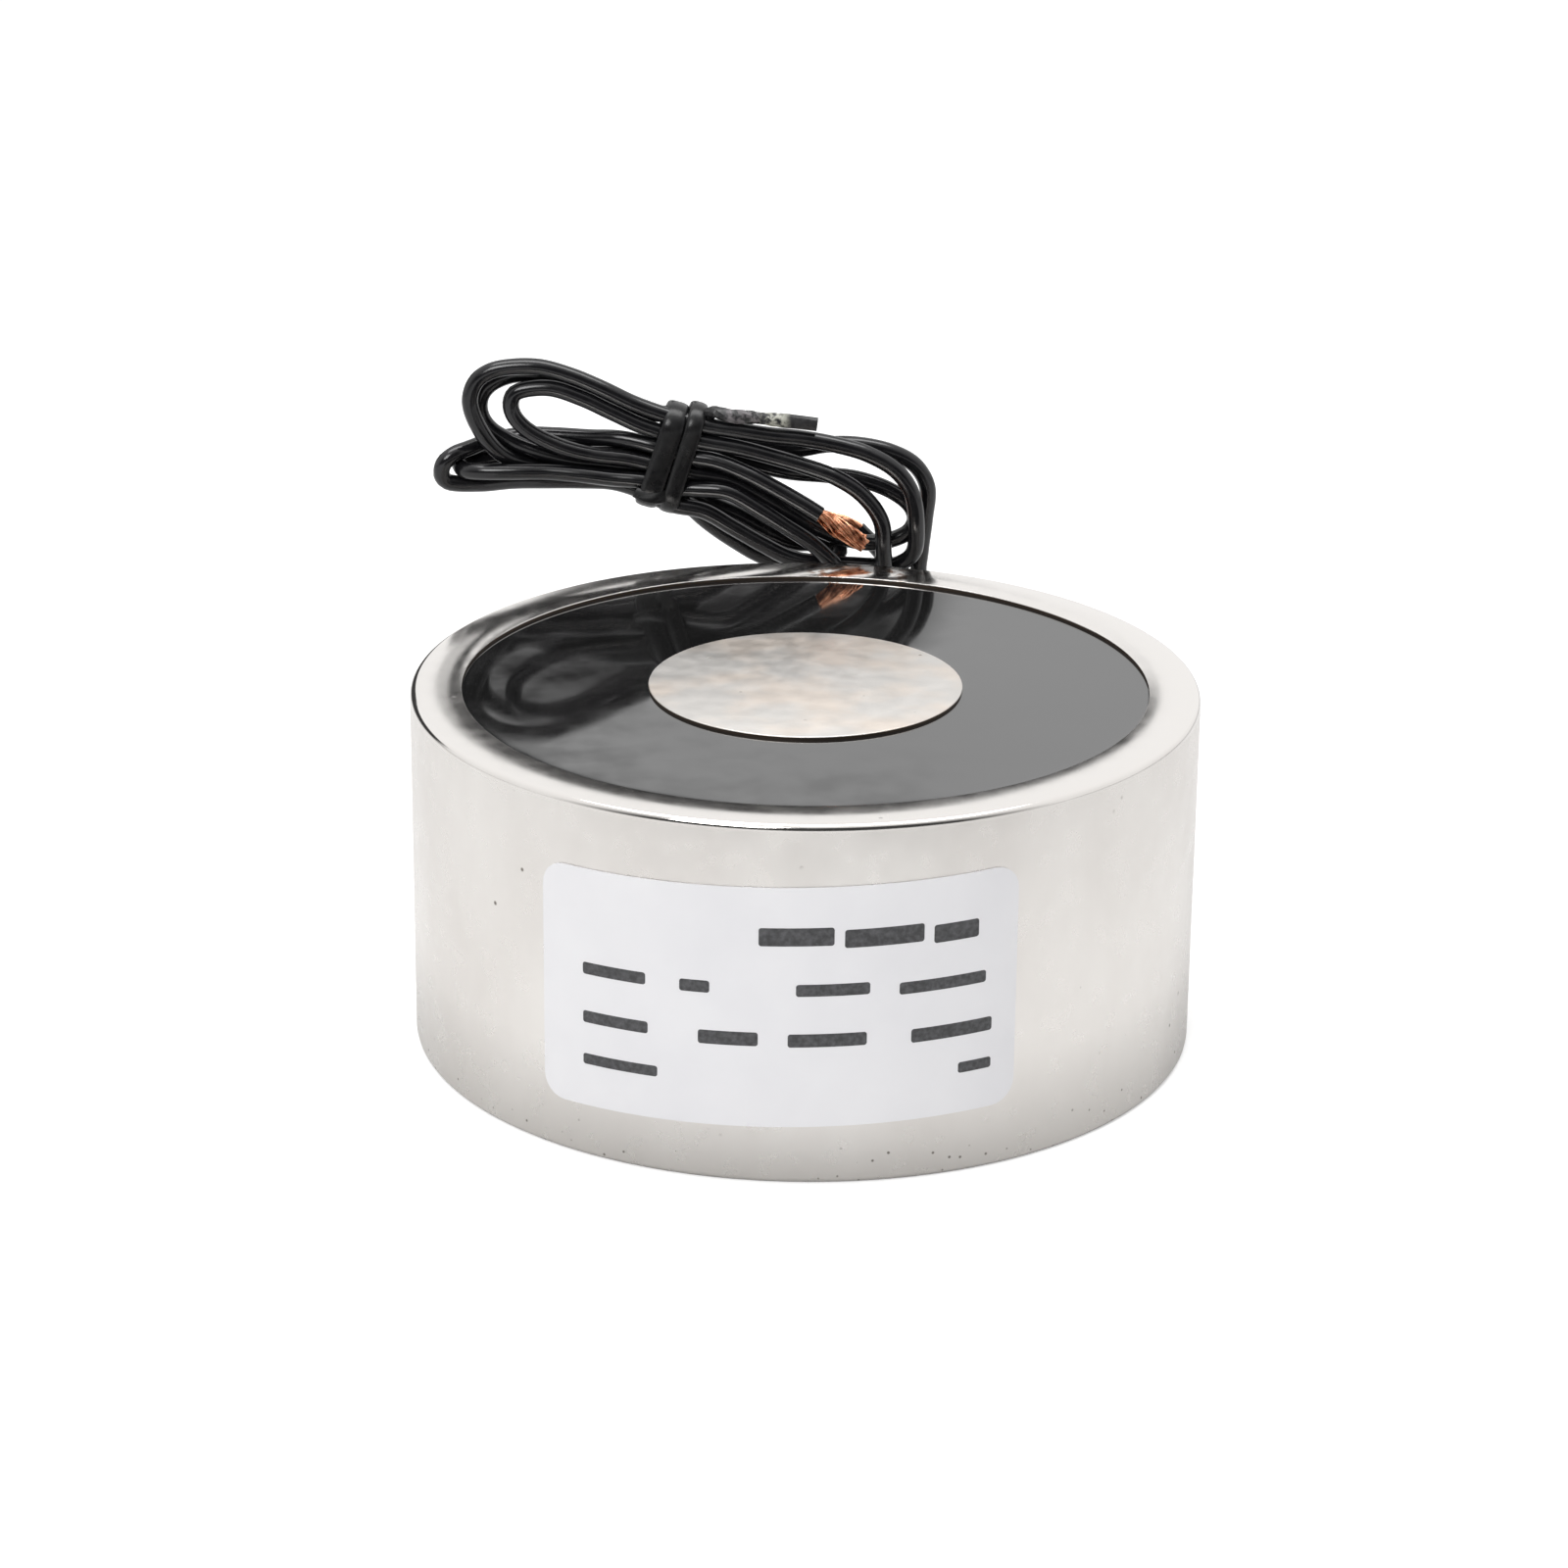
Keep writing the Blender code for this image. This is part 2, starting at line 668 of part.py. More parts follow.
def label_half_height(across):
    """Half the label's height at a distance from its middle, with its corners rounded."""
    into_corner = abs(across) - (LABEL_WIDTH / 2 - LABEL_CORNER)
    if into_corner <= 0:
        return LABEL_HEIGHT / 2
    return LABEL_HEIGHT / 2 - LABEL_CORNER + math.sqrt(max(0.0, LABEL_CORNER ** 2 - into_corner ** 2))


def build_label(parts, finish):
    """A thin sheet bent round the wall, from a flat grid whose corners are pulled in."""
    bpy.ops.mesh.primitive_grid_add(x_subdivisions=LABEL_STEPS, y_subdivisions=1, size=1)
    label = place_in(bpy.context.object, parts)
    label.name = "rating_label"
    radius = POT_RADIUS + LABEL_GAP
    for vertex in label.data.vertices:
        across = vertex.co.x * LABEL_WIDTH
        up = vertex.co.y * 2 * label_half_height(across) + across * math.tan(LABEL_SLANT)
        angle = LABEL_TURN + across / POT_RADIUS
        vertex.co = (radius * math.sin(angle), -radius * math.cos(angle), LABEL_CENTRE_HEIGHT + up)
    thick = label.modifiers.new("Thickness", "SOLIDIFY")
    thick.thickness = LABEL_THICKNESS
    thick.offset = 1.0
    return finish_piece(label, finish)


def build_all():
    clear_scene()
    parts = new_collection("holding_electromagnet")
    cutters = new_collection("cutters")
    nickel = new_material("nickel_plate", (0.70, 0.69, 0.67), 0.28, 1.0)
    black_resin = new_material("black_resin", (0.012, 0.012, 0.013), 0.12, 0.0)
    nylon = new_material("nylon", (0.62, 0.60, 0.55), 0.5, 0.0)
    copper = new_material("enamelled_copper", (0.55, 0.20, 0.08), 0.35, 1.0)
    tape = new_material("yellow_tape", (0.75, 0.55, 0.12), 0.4, 0.0)
    solder = new_material("solder", (0.60, 0.60, 0.60), 0.35, 1.0)
    sleeving = new_material("white_sleeving", (0.75, 0.74, 0.70), 0.6, 0.0)
    rubber = new_material("black_sleeve", (0.02, 0.02, 0.02), 0.5, 0.0)
    insulation = new_material("black_insulation", (0.015, 0.015, 0.016), 0.35, 0.0)
    bare_copper = new_material("bare_copper", (0.72, 0.35, 0.18), 0.35, 1.0)
    tie_plastic = new_material("tie_plastic", (0.02, 0.02, 0.021), 0.4, 0.0)
    paper = new_material("label_film", (0.86, 0.86, 0.88), 0.45, 0.0)
    build_pot(parts, cutters, nickel)
    build_bobbin(parts, cutters, nylon)
    build_winding(parts, copper)
    build_tape(parts, tape)
    build_resin(parts, cutters, black_resin)
    for letter, side in (("a", 1), ("b", -1)):
        build_joint(letter, side, parts, sleeving, solder)
        build_lead(letter, side, parts, insulation)
    build_tails(parts, copper)
    build_exit_sleeve(parts, rubber)
    build_hank(parts, insulation)
    in_front = HANK_FRONT - SEAT_GAP - CONDUCTOR_RADIUS
    behind = HANK_BACK + SEAT_GAP + CONDUCTOR_RADIUS
    build_bare_end("a", BARE_END_FRONT, in_front, parts, bare_copper)
    build_bare_end("b", BARE_END_BACK, behind, parts, bare_copper)
    build_tie(parts, cutters, tie_plastic)
    build_label(parts, paper)
    for piece in parts.objects:
        if piece.type == "MESH":
            shade_round(piece)


build_all()
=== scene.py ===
"""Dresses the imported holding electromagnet: finishes, thread, leads, tie and label, in a plain studio."""

import math
import random

import bmesh
import bpy
from mathutils import Matrix, Vector


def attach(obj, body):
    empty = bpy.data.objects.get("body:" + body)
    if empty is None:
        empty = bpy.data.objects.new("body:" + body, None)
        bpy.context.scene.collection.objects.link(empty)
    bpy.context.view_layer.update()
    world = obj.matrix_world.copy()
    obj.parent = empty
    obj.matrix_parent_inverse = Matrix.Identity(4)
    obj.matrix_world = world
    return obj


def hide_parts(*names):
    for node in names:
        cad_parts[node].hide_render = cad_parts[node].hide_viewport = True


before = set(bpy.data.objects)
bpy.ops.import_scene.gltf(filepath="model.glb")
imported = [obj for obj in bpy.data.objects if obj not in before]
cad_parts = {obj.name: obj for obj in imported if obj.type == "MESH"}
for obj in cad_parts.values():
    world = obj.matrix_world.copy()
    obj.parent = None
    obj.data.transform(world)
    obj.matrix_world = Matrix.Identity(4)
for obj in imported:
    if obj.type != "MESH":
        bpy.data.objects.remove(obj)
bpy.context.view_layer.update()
MM = 0.001

# The camera, at the photograph's viewing angle
CAMERA_PLACE = (0, -0.3571, 0.1561)
CAMERA_TURN = math.radians(-0.270)
CAMERA_DOWN = math.radians(20.712)
CAMERA_ROLL = math.radians(0.553)
CAMERA_LENS = 105.5
CAMERA_SENSOR = 36

# The pot, and how far its edges are rounded
POT_RADIUS = 0.0325
POT_HEIGHT = 0.030
CAVITY_RADIUS = 0.028275
CORE_RADIUS = 0.012935
POT_FLOOR = 0.0055
POT_ROUNDING = 0.0005
CAVITY_ROUNDING = 0.00003
POLE_ROUNDING = 0.00008
SPIN_STEPS = 256

# The tapped hole in the base, and its thread
TAP_RADIUS = 0.004
TAP_DEPTH = 0.012
TAP_POINT = 0.0024
TAP_MOUTH = 0.0006
TAP_PITCH = 0.00125
TAP_CREST = 0.0034
THREAD_ROOT = TAP_RADIUS + 0.00003
THREAD_STEPS = 48

# The resin, and how far its points lie from the pole and the wall, in mm
RESIN_TOP = 0.0295
RESIN_UNDERSIDE = 0.0269
RESIN_EDGE = 0.0002
RESIN_DISH = 0.00003
RESIN_CREEP = 0.00002
RESIN_CREEP_WIDTH = 0.00022
RESIN_MARKS = (0, 0.05, 0.1, 0.17, 0.26, 0.38, 0.55, 0.8, 1.2, 1.8, 2.6, 3.6, 4.8, 6.2, 7.5)

# The exit in the wall, and the sleeve in it
EXIT_ANGLE = math.radians(26)
EXIT_HEIGHT = 0.00855
EXIT_HOLE_RADIUS = 0.00285
EXIT_DRILL_LENGTH = 0.010
EXIT_DRILL_MIDDLE = 0.0305
SLEEVE_RADIUS = 0.00255
SLEEVE_BORE = 0.00195
SLEEVE_START = 0.0272
SLEEVE_END = 0.0350
SLEEVE_LIP = 0.0002

# The label
LABEL_WIDTH = 0.0391
LABEL_HEIGHT = 0.020
LABEL_CENTRE_HEIGHT = 0.0149
LABEL_TURN = math.radians(-3.8)
LABEL_SLANT = math.radians(1.5)
LABEL_CORNER = 0.002
LABEL_INSIDE = 0.03253
LABEL_THICKNESS = 0.00014
LABEL_STEP = 0.0006
INK_THICKNESS = 0.00002
INK_CORNER = 0.00022
# The plain bars on the label: left end, right end, middle height and height, in mm from its centre
LABEL_BARS = [
    (-1.2, 4.6, 5.95, 1.5), (5.4, 11.6, 5.7, 1.5), (12.4, 16.1, 5.4, 1.5),
    (-15.7, -10.2, 1.7, 1.0), (-7.4, -5.0, 1.6, 1.0), (1.7, 7.4, 1.5, 1.0), (9.7, 16.8, 1.2, 1.0),
    (-15.7, -10.0, -2.4, 1.0), (-5.9, -1.2, -2.6, 1.15), (1.1, 7.2, -2.7, 1.1), (10.7, 17.4, -2.9, 1.15),
    (-15.7, -9.2, -6.0, 0.9), (14.6, 17.4, -6.2, 0.9),
]

# The leads
LEAD_RADIUS = 0.00075
LEAD_SPACING = 0.00035

# The bare strands: how many stand at each distance from the middle, in mm
STRAND_RADIUS = 0.00011
STRAND_SPACING = 0.0003
STRAND_RINGS = ((0.0, 1), (0.2, 6), (0.4, 12), (0.58, 16))
FRONT_FAN = 0.7
BACK_FAN = 0.4

# The tie
TIE_MIDDLE = (-0.0118, 0.0367, 0.0382)
TIE_SLOPE = math.radians(-15.7)
# Each turn of the tie: its place along the hank, its lean, how far its top stands up, and its width
TIE_TURNS = [(-0.00125, 0.0002, 0.0, 0.0020), (0.00062, 0.0001, 0.0005, 0.0016)]
TIE_THICKNESS = 0.0007
TIE_HALF_HEIGHT = 0.0046
TIE_HALF_DEPTH = 0.0022
TIE_CORNER = 0.0019
TIE_CORNER_STEPS = 6
TIE_SECTION_STEPS = 18
TIE_SPACING = 0.0002
TAIL_SIZE = (0.0013, 0.00105)
STUB_SIZE = (0.0012, 0.0006)
STRIP_EDGE_ANGLES = (-1.57, -0.785, 0, 0.785, 1.57)

# The studio: diffuse light of the surround, how dark the room mirrors, the floor's lift to white
WORLD_LIGHT = 0.5
ROOM_DARK = 0.05
FLOOR_LIFT = 0.42
FLOOR_SIZE = 1.5
# Each lamp: its name, its place, what it points at, its size and its power
LAMPS = [
    ("soft_front", (-0.25, -0.55, 0.55), (0, 0, 0.02), (0.35, 0.3), 3.0),
    ("soft_top", (0.0, 0.06, 0.5), (0, 0.037, 0.04), (0.5, 0.22), 1.9),
]
# Where the dark room starts and where it is full, for a direction's Y, and its Z at bottom and top
ROOM_FRONT = (-0.25, -0.7)
ROOM_BOTTOM = (-0.02, 0.04)
ROOM_TOP = (0.85, 0.7)
# The same for the shade low behind: Y, Z at the top, and X / Y at its right end, its left end and past it
SHADE_BACK = (0.5, 0.6)
SHADE_TOP = (0.339, 0.335)
SHADE_RIGHT = (0.033, 0.020)
SHADE_LEFT = (-0.092, -0.080)
SHADE_PAST = (-0.16, -0.22)

# Each lead from its joint inside the pot, out through the sleeve and through the hank, in mm
LEAD_A_ROUTE = [
    (17.50, 20.39, 8.55), (15.19, 22.30, 8.55), (13.65, 24.74, 8.55), (13.83, 26.21, 8.55),
    (15.07, 28.94, 8.55), (16.42, 31.62, 8.53), (17.73, 34.31, 8.51), (18.60, 35.72, 9.57),
    (19.07, 36.53, 11.32), (18.85, 36.82, 14.26), (17.58, 36.50, 16.93), (15.59, 36.09, 19.13),
    (13.29, 35.81, 21.04), (10.98, 35.60, 22.94), (8.93, 35.44, 25.12), (7.21, 35.33, 27.57),
    (6.87, 35.22, 29.95), (6.62, 35.19, 32.91), (4.93, 35.19, 35.35), (2.44, 35.27, 36.98),
    (-0.38, 35.45, 37.96), (-3.27, 35.51, 38.78), (-6.17, 35.49, 39.53), (-9.06, 35.57, 40.00),
    (-11.93, 35.60, 40.59), (-14.79, 35.50, 41.48), (-17.49, 35.41, 42.76), (-20.19, 35.30, 44.06),
    (-23.07, 35.30, 44.92), (-25.92, 35.30, 44.46), (-26.36, 35.30, 43.69), (-26.30, 35.30, 42.78),
    (-25.82, 35.30, 41.91), (-24.70, 35.30, 40.88), (-22.01, 35.36, 39.52), (-19.13, 35.47, 38.76),
    (-16.14, 35.49, 38.44), (-13.25, 35.54, 37.78), (-10.37, 35.90, 37.08), (-7.12, 36.27, 36.43),
    (-4.44, 36.20, 35.11), (-1.89, 36.24, 33.53), (0.62, 36.56, 31.96), (3.27, 37.16, 30.73),
    (6.22, 37.32, 30.29), (9.02, 37.31, 31.28), (9.66, 37.30, 32.49), (9.48, 37.28, 33.39),
    (8.91, 37.23, 34.19), (7.26, 37.08, 35.35), (4.44, 37.03, 36.35), (1.46, 37.19, 36.63),
    (-1.52, 37.30, 36.82), (-4.46, 37.46, 37.38), (-7.35, 37.59, 38.22), (-10.12, 37.60, 38.06),
    (-11.48, 37.59, 38.43), (-14.77, 37.60, 39.08), (-17.18, 37.94, 38.46), (-20.11, 38.61, 38.14),
    (-23.09, 38.73, 38.11), (-26.05, 38.72, 37.70), (-29.05, 38.61, 37.37), (-31.08, 37.19, 37.17),
    (-30.89, 36.59, 37.06), (-30.39, 35.98, 37.00), (-29.01, 35.36, 37.11), (-26.49, 35.20, 37.19),
    (-23.49, 35.33, 37.19), (-20.50, 35.25, 37.02), (-17.51, 35.24, 36.70), (-14.53, 35.18, 36.46),
    (-11.67, 35.56, 35.68), (-9.79, 35.18, 35.77), (-7.06, 34.88, 35.62), (-4.43, 34.87, 34.15),
    (-1.95, 35.00, 32.49), (0.52, 35.15, 30.78), (2.55, 34.97, 28.66), (2.92, 35.41, 26.73),
    (3.04, 35.74, 23.72), (3.08, 35.89, 20.73), (3.00, 36.26, 17.76), (3.11, 36.57, 14.78),
    (3.25, 36.81, 11.79), (3.28, 37.02, 8.80), (3.28, 37.21, 5.80), (3.84, 37.31, 2.87),
    (5.18, 37.31, 1.46), (6.61, 37.30, 1.20), (7.96, 37.30, 1.74), (8.87, 37.30, 2.89),
    (9.38, 37.30, 4.83), (9.41, 37.30, 7.83), (9.40, 37.29, 10.83), (9.32, 37.30, 13.83),
    (9.18, 37.35, 16.83), (8.96, 37.59, 19.81), (8.56, 38.02, 22.74), (7.87, 38.52, 25.62),
    (6.91, 39.04, 28.42), (4.60, 39.40, 30.90),
]
LEAD_B_ROUTE = [
    (5.29, 26.35, 8.55), (8.22, 25.70, 8.55), (11.09, 25.99, 8.55), (12.14, 27.04, 8.55),
    (13.52, 29.70, 8.55), (14.80, 32.41, 8.53), (16.11, 35.10, 8.51), (16.99, 36.53, 9.54),
    (17.53, 37.46, 11.22), (17.57, 38.06, 14.13), (16.57, 38.00, 16.92), (14.90, 37.81, 19.41),
    (13.09, 37.75, 21.80), (11.39, 37.79, 24.27), (10.15, 37.98, 26.99), (10.28, 38.30, 29.34),
    (10.60, 38.52, 32.27), (10.75, 38.29, 35.23), (9.64, 37.87, 37.37), (7.57, 37.52, 38.67),
    (4.66, 37.35, 39.38), (1.67, 37.29, 39.41), (-1.28, 37.31, 38.92), (-4.24, 37.38, 39.27),
    (-7.17, 37.43, 39.91), (-9.68, 37.60, 41.28), (-12.54, 37.59, 41.99), (-15.45, 37.36, 42.09),
    (-17.65, 37.14, 43.23), (-20.34, 36.95, 44.54), (-23.20, 36.89, 45.43), (-26.18, 36.90, 45.66),
    (-28.42, 36.90, 44.64), (-29.18, 36.89, 43.40), (-29.15, 36.90, 41.95), (-28.39, 36.97, 40.69),
    (-26.75, 37.16, 39.57), (-23.95, 36.86, 38.55), (-21.04, 36.63, 37.88), (-18.05, 36.62, 37.57),
    (-15.14, 36.83, 37.04), (-13.56, 37.46, 35.91), (-11.26, 38.01, 33.97), (-8.99, 37.54, 32.04),
    (-6.53, 37.37, 30.34), (-3.92, 37.28, 28.88), (-1.03, 37.36, 28.13), (1.96, 37.95, 28.18),
    (2.94, 38.52, 29.00), (2.88, 38.78, 29.41), (2.42, 38.98, 29.70), (1.71, 39.10, 29.82),
    (0.79, 38.98, 29.71), (-1.05, 38.36, 29.86), (-3.58, 37.57, 31.23), (-6.14, 37.40, 32.75),
    (-8.87, 37.38, 33.99), (-11.26, 37.25, 35.73), (-13.49, 37.90, 37.63), (-14.85, 38.27, 37.56),
    (-16.24, 38.22, 37.01), (-18.71, 37.90, 36.78), (-21.70, 37.75, 36.88), (-24.68, 37.34, 37.24),
    (-27.20, 36.14, 38.49), (-28.97, 35.38, 40.74), (-29.98, 35.28, 43.55), (-29.46, 35.30, 45.39),
    (-28.33, 35.30, 46.30), (-26.89, 35.30, 46.73), (-23.89, 35.30, 46.82), (-21.00, 35.30, 46.05),
    (-18.24, 35.31, 44.89), (-15.56, 35.46, 43.55), (-12.76, 35.60, 42.49), (-9.40, 35.59, 41.59),
    (-6.47, 35.50, 41.18), (-3.50, 35.50, 40.74), (-0.51, 35.50, 40.46), (2.43, 35.60, 39.91),
    (5.28, 35.70, 39.06), (7.86, 35.70, 37.54), (9.26, 35.69, 35.53), (9.77, 35.72, 32.57),
    (9.52, 36.20, 29.67), (8.19, 36.76, 28.45), (6.76, 37.02, 28.15), (4.28, 36.87, 28.29),
    (1.41, 36.22, 28.64), (-1.45, 35.60, 29.30), (-4.12, 35.59, 30.64), (-6.71, 35.60, 32.16),
    (-9.28, 35.59, 33.63), (-12.23, 35.57, 34.23), (-14.80, 36.12, 35.28), (-17.39, 36.59, 35.92),
    (-20.36, 36.48, 36.07), (-23.37, 36.42, 36.06), (-26.35, 36.77, 35.88), (-29.34, 36.96, 35.52),
    (-32.24, 36.58, 35.80), (-32.70, 36.26, 36.57), (-32.55, 36.03, 37.49), (-32.27, 36.03, 37.91),
    (-31.44, 36.38, 38.45), (-30.51, 37.03, 38.66), (-27.88, 38.58, 39.20), (-25.44, 38.67, 39.59),
    (-22.50, 38.08, 39.74), (-19.61, 37.27, 39.83), (-16.77, 36.31, 40.04), (-13.96, 35.70, 39.64),
    (-11.09, 35.57, 38.74), (-8.18, 35.30, 38.32), (-5.40, 34.94, 37.32), (-2.73, 34.75, 35.95),
    (-0.12, 34.47, 34.52), (1.15, 34.30, 33.75),
]

# The bare strands: the line down the middle of each bundle, in mm
BARE_FRONT_ROUTE = [
    (0.9, 34.3, 33.9), (1.9, 34.2, 33.2), (2.9, 34.1, 32.5), (4.0, 34.0, 31.9), (5.2, 33.9, 31.2),
]
BARE_BACK_ROUTE = [
    (4.9, 39.4, 30.7), (4.1, 39.4, 31.1), (3.3, 39.4, 31.4), (2.4, 39.4, 31.7), (1.3, 39.4, 32.0),
]

# The tie's tail, in mm, and the turn of the strip at each point, in degrees
TIE_TAIL_ROUTE = [
    (-10.0, 36.6, 41.52, 0), (-9.4, 36.2, 42.00, 20), (-8.9, 35.8, 42.49, 60), (-8.4, 35.4, 42.88, 95),
    (-7.8, 35.2, 42.81, 130), (-7.1, 35.1, 42.62, 170), (-6.3, 35.1, 42.54, 205), (-5.2, 35.1, 42.50, 260),
    (-3.9, 35.1, 42.38, 300), (-2.6, 35.1, 42.26, 345), (-1.3, 35.1, 42.14, 360), (-0.2, 35.1, 42.02, 362),
    (0.8, 35.1, 41.90, 365),
]
# The tie's other end, tucked out at its lower corner
TIE_STUB_ROUTE = [
    (-12.6, 34.6, 35.3, 0), (-13.4, 34.3, 35.2, 20), (-14.4, 34.3, 35.3, 35), (-15.3, 34.5, 35.7, 50),
]


def wire_in(material, value, socket):
    if isinstance(value, bpy.types.NodeSocket):
        material.node_tree.links.new(value, socket)
    else:
        socket.default_value = value


def add(material, kind, wires=(), **settings):
    """Adds a shader node to a material or to the world, with what goes into each of its sockets."""
    made = material.node_tree.nodes.new("ShaderNode" + kind)
    for name, value in settings.items():
        setattr(made, name, value)
    for socket, value in wires:
        wire_in(material, value, made.inputs[socket])
    return made.outputs


def new_finish(name, colour, roughness, **sockets):
    material = bpy.data.materials.new(name)
    material.use_nodes = True
    shader = material.node_tree.nodes["Principled BSDF"]
    shader.inputs["Base Color"].default_value = (*colour, 1)
    shader.inputs["Roughness"].default_value = roughness
    for socket, value in sockets.items():
        shader.inputs[socket.replace("_", " ")].default_value = value
    return material


def finish_with(material, **sockets):
    shader = material.node_tree.nodes["Principled BSDF"]
    for socket, value in sockets.items():
        wire_in(material, value, shader.inputs[socket.replace("_", " ")])


def spots(material, stretch=(1, 1, 1)):
    """Places on the object in millimetres, squeezed or stretched along each axis."""
    place = add(material, "TexCoord")["Object"]
    scale = tuple(part / MM for part in stretch)
    return add(material, "Mapping", [("Vector", place), ("Scale", scale)])["Vector"]


def cloud(material, per_mm, detail=3.0, stretch=(1, 1, 1)):
    """Soft random variation from 0 to 1."""
    wires = [("Vector", spots(material, stretch)), ("Scale", per_mm), ("Detail", detail)]
    return add(material, "TexNoise", wires)["Fac"]


def span(material, value, low, high, to_low=0.0, to_high=1.0):
    """Runs from one value to the other while its input runs from low to high."""
    wires = [("Value", value), ("From Min", low), ("From Max", high),
             ("To Min", to_low), ("To Max", to_high)]
    return add(material, "MapRange", wires)["Result"]


def work(material, kind, first, second=0.0):
    made = material.node_tree.nodes.new("ShaderNodeMath")
    made.operation = kind
    wire_in(material, first, made.inputs[0])
    wire_in(material, second, made.inputs[1])
    return made.outputs[0]


def times(material, value, *others):
    """The product of several values."""
    for other in others:
        value = work(material, "MULTIPLY", value, other)
    return value


def mix(material, share, first, second):
    """One value turning into another."""
    return work(material, "ADD", times(material, first, work(material, "SUBTRACT", 1.0, share)),
                times(material, second, share))


def tint(material, share, first, second):
    """One colour turning into another."""
    made = material.node_tree.nodes.new("ShaderNodeMix")
    made.data_type = "RGBA"
    wire_in(material, share, made.inputs["Factor"])
    for socket, colour in ((made.inputs[6], first), (made.inputs[7], second)):
        wire_in(material, colour if isinstance(colour, bpy.types.NodeSocket) else (*colour, 1), socket)
    return made.outputs[2]


def relief(material, height, depth_mm, over=None):
    wires = [("Height", height), ("Distance", depth_mm * MM), ("Strength", 1.0)]
    if over is not None:
        wires.append(("Normal", over))
    return add(material, "Bump", wires)["Normal"]


def pits(material, per_mm, size):
    """A few small round pits, 1 inside one."""
    wires = [("Vector", spots(material)), ("Scale", per_mm)]
    near = add(material, "TexVoronoi", wires)["Distance"]
    return span(material, near, size, size * 0.5)


def clouded(name, colour, roughness, tones, rough, bump, **sockets):
    """A finish whose colour, roughness and relief each follow a cloud of their own.

    Each row starts with the cloud's grains per mm and its detail. After them tones has the part of
    the cloud that counts and its two colours, rough its two ends, and bump its depth in mm.
    """
    m = new_finish(name, colour, roughness, **sockets)
    grains, detail, low, high, first, second = tones
    colour = tint(m, span(m, cloud(m, grains, detail), low, high), first, second)
    grains, detail, smooth, coarse = rough
    rough = span(m, cloud(m, grains, detail), 0.3, 0.7, smooth, coarse)
    grains, detail, depth = bump
    finish_with(m, Base_Color=colour, Roughness=rough, Normal=relief(m, cloud(m, grains, detail), depth))
    return m


def nickel_plate():
    """Satin nickel on turned steel: a bright ground rim, a softer pole face, mottling and a few pits."""
    m = new_finish("satin_nickel", (0.80, 0.77, 0.74), 0.3, Metallic=1.0)
    place = add(m, "SeparateXYZ", [("Vector", spots(m))])
    radius = work(m, "SQRT", work(m, "ADD", times(m, place["X"], place["X"]),
                                  times(m, place["Y"], place["Y"])))
    on_pole = span(m, radius, 14.0, 13.4)
    on_face = span(m, place["Z"], 29.7, 29.95)
    # Painted shade: low grows towards the base, where the colour is darkened further down
    low = span(m, place["Z"], 9.0, 0.0)
    pit = times(m, pits(m, 0.45, 0.10), span(m, cloud(m, 0.2), 0.57, 0.65))
    pit = work(m, "MAXIMUM", pit, times(m, pits(m, 0.8, 0.12), span(m, place["Z"], 3.2, 2.6)))
    mottle = span(m, cloud(m, 0.11, 4.0, (1.0, 1.0, 0.45)), 0.32, 0.68)
    colour = tint(m, mottle, (0.73, 0.70, 0.67), (0.80, 0.775, 0.745))
    warm = tint(m, span(m, cloud(m, 0.16, 5.0), 0.42, 0.62), (0.64, 0.62, 0.595), (0.70, 0.635, 0.575))
    colour = tint(m, on_face, colour, (0.87, 0.84, 0.81))
    colour = tint(m, on_pole, colour, warm)
    aside = work(m, "ABSOLUTE", work(m, "SUBTRACT", place["X"], 5.0))
    stain = times(m, span(m, place["Y"], 26.0, 28.5), span(m, aside, 6.0, 4.0), on_face,
                  span(m, cloud(m, 0.9, 4.0), 0.50, 0.62))
    colour = tint(m, stain, colour, (0.30, 0.16, 0.09))
    # Painted shade: the lower wall is darkened for the contact shade near the floor
    colour = tint(m, times(m, low, 0.62), colour, (0.52, 0.50, 0.475))
    colour = tint(m, times(m, pit, 0.8), colour, (0.14, 0.12, 0.10))
    cloudy = cloud(m, 0.5, 4.0)
    side = span(m, cloudy, 0.3, 0.7, 0.25, 0.35)
    ground = span(m, cloudy, 0.3, 0.7, 0.12, 0.18)
    pole = span(m, cloudy, 0.3, 0.7, 0.38, 0.50)
    rough = mix(m, on_pole, mix(m, on_face, side, ground), pole)
    rough = work(m, "ADD", rough, times(m, pit, 0.3))
    corner = times(m, span(m, radius, 31.85, 32.05), span(m, place["Z"], 29.35, 29.55))
    rough = times(m, rough, span(m, corner, 0.0, 1.0, 1.0, 0.4))
    # Painted shade: the pole's side and the cavity wall, where they stand above the resin, are coloured
    # dark brown for the dark line of shade along those edges
    inside = times(m, span(m, radius, 12.88, 12.9), span(m, radius, 28.33, 28.31),
                   span(m, place["Z"], 29.93, 29.91))
    colour = tint(m, inside, colour, (0.06, 0.045, 0.035))
    rough = work(m, "MAXIMUM", rough, times(m, inside, 0.6))
    calm = span(m, on_face, 0.0, 1.0, 1.0, 0.35)
    bump = relief(m, times(m, cloud(m, 0.25, 2.0), calm), 0.012)
    bump = relief(m, cloud(m, 5.0, 2.0), 0.0015, bump)
    bump = relief(m, work(m, "SUBTRACT", 1.0, pit), 0.02, bump)
    finish_with(m, Base_Color=colour, Roughness=rough, Normal=bump)
    return m


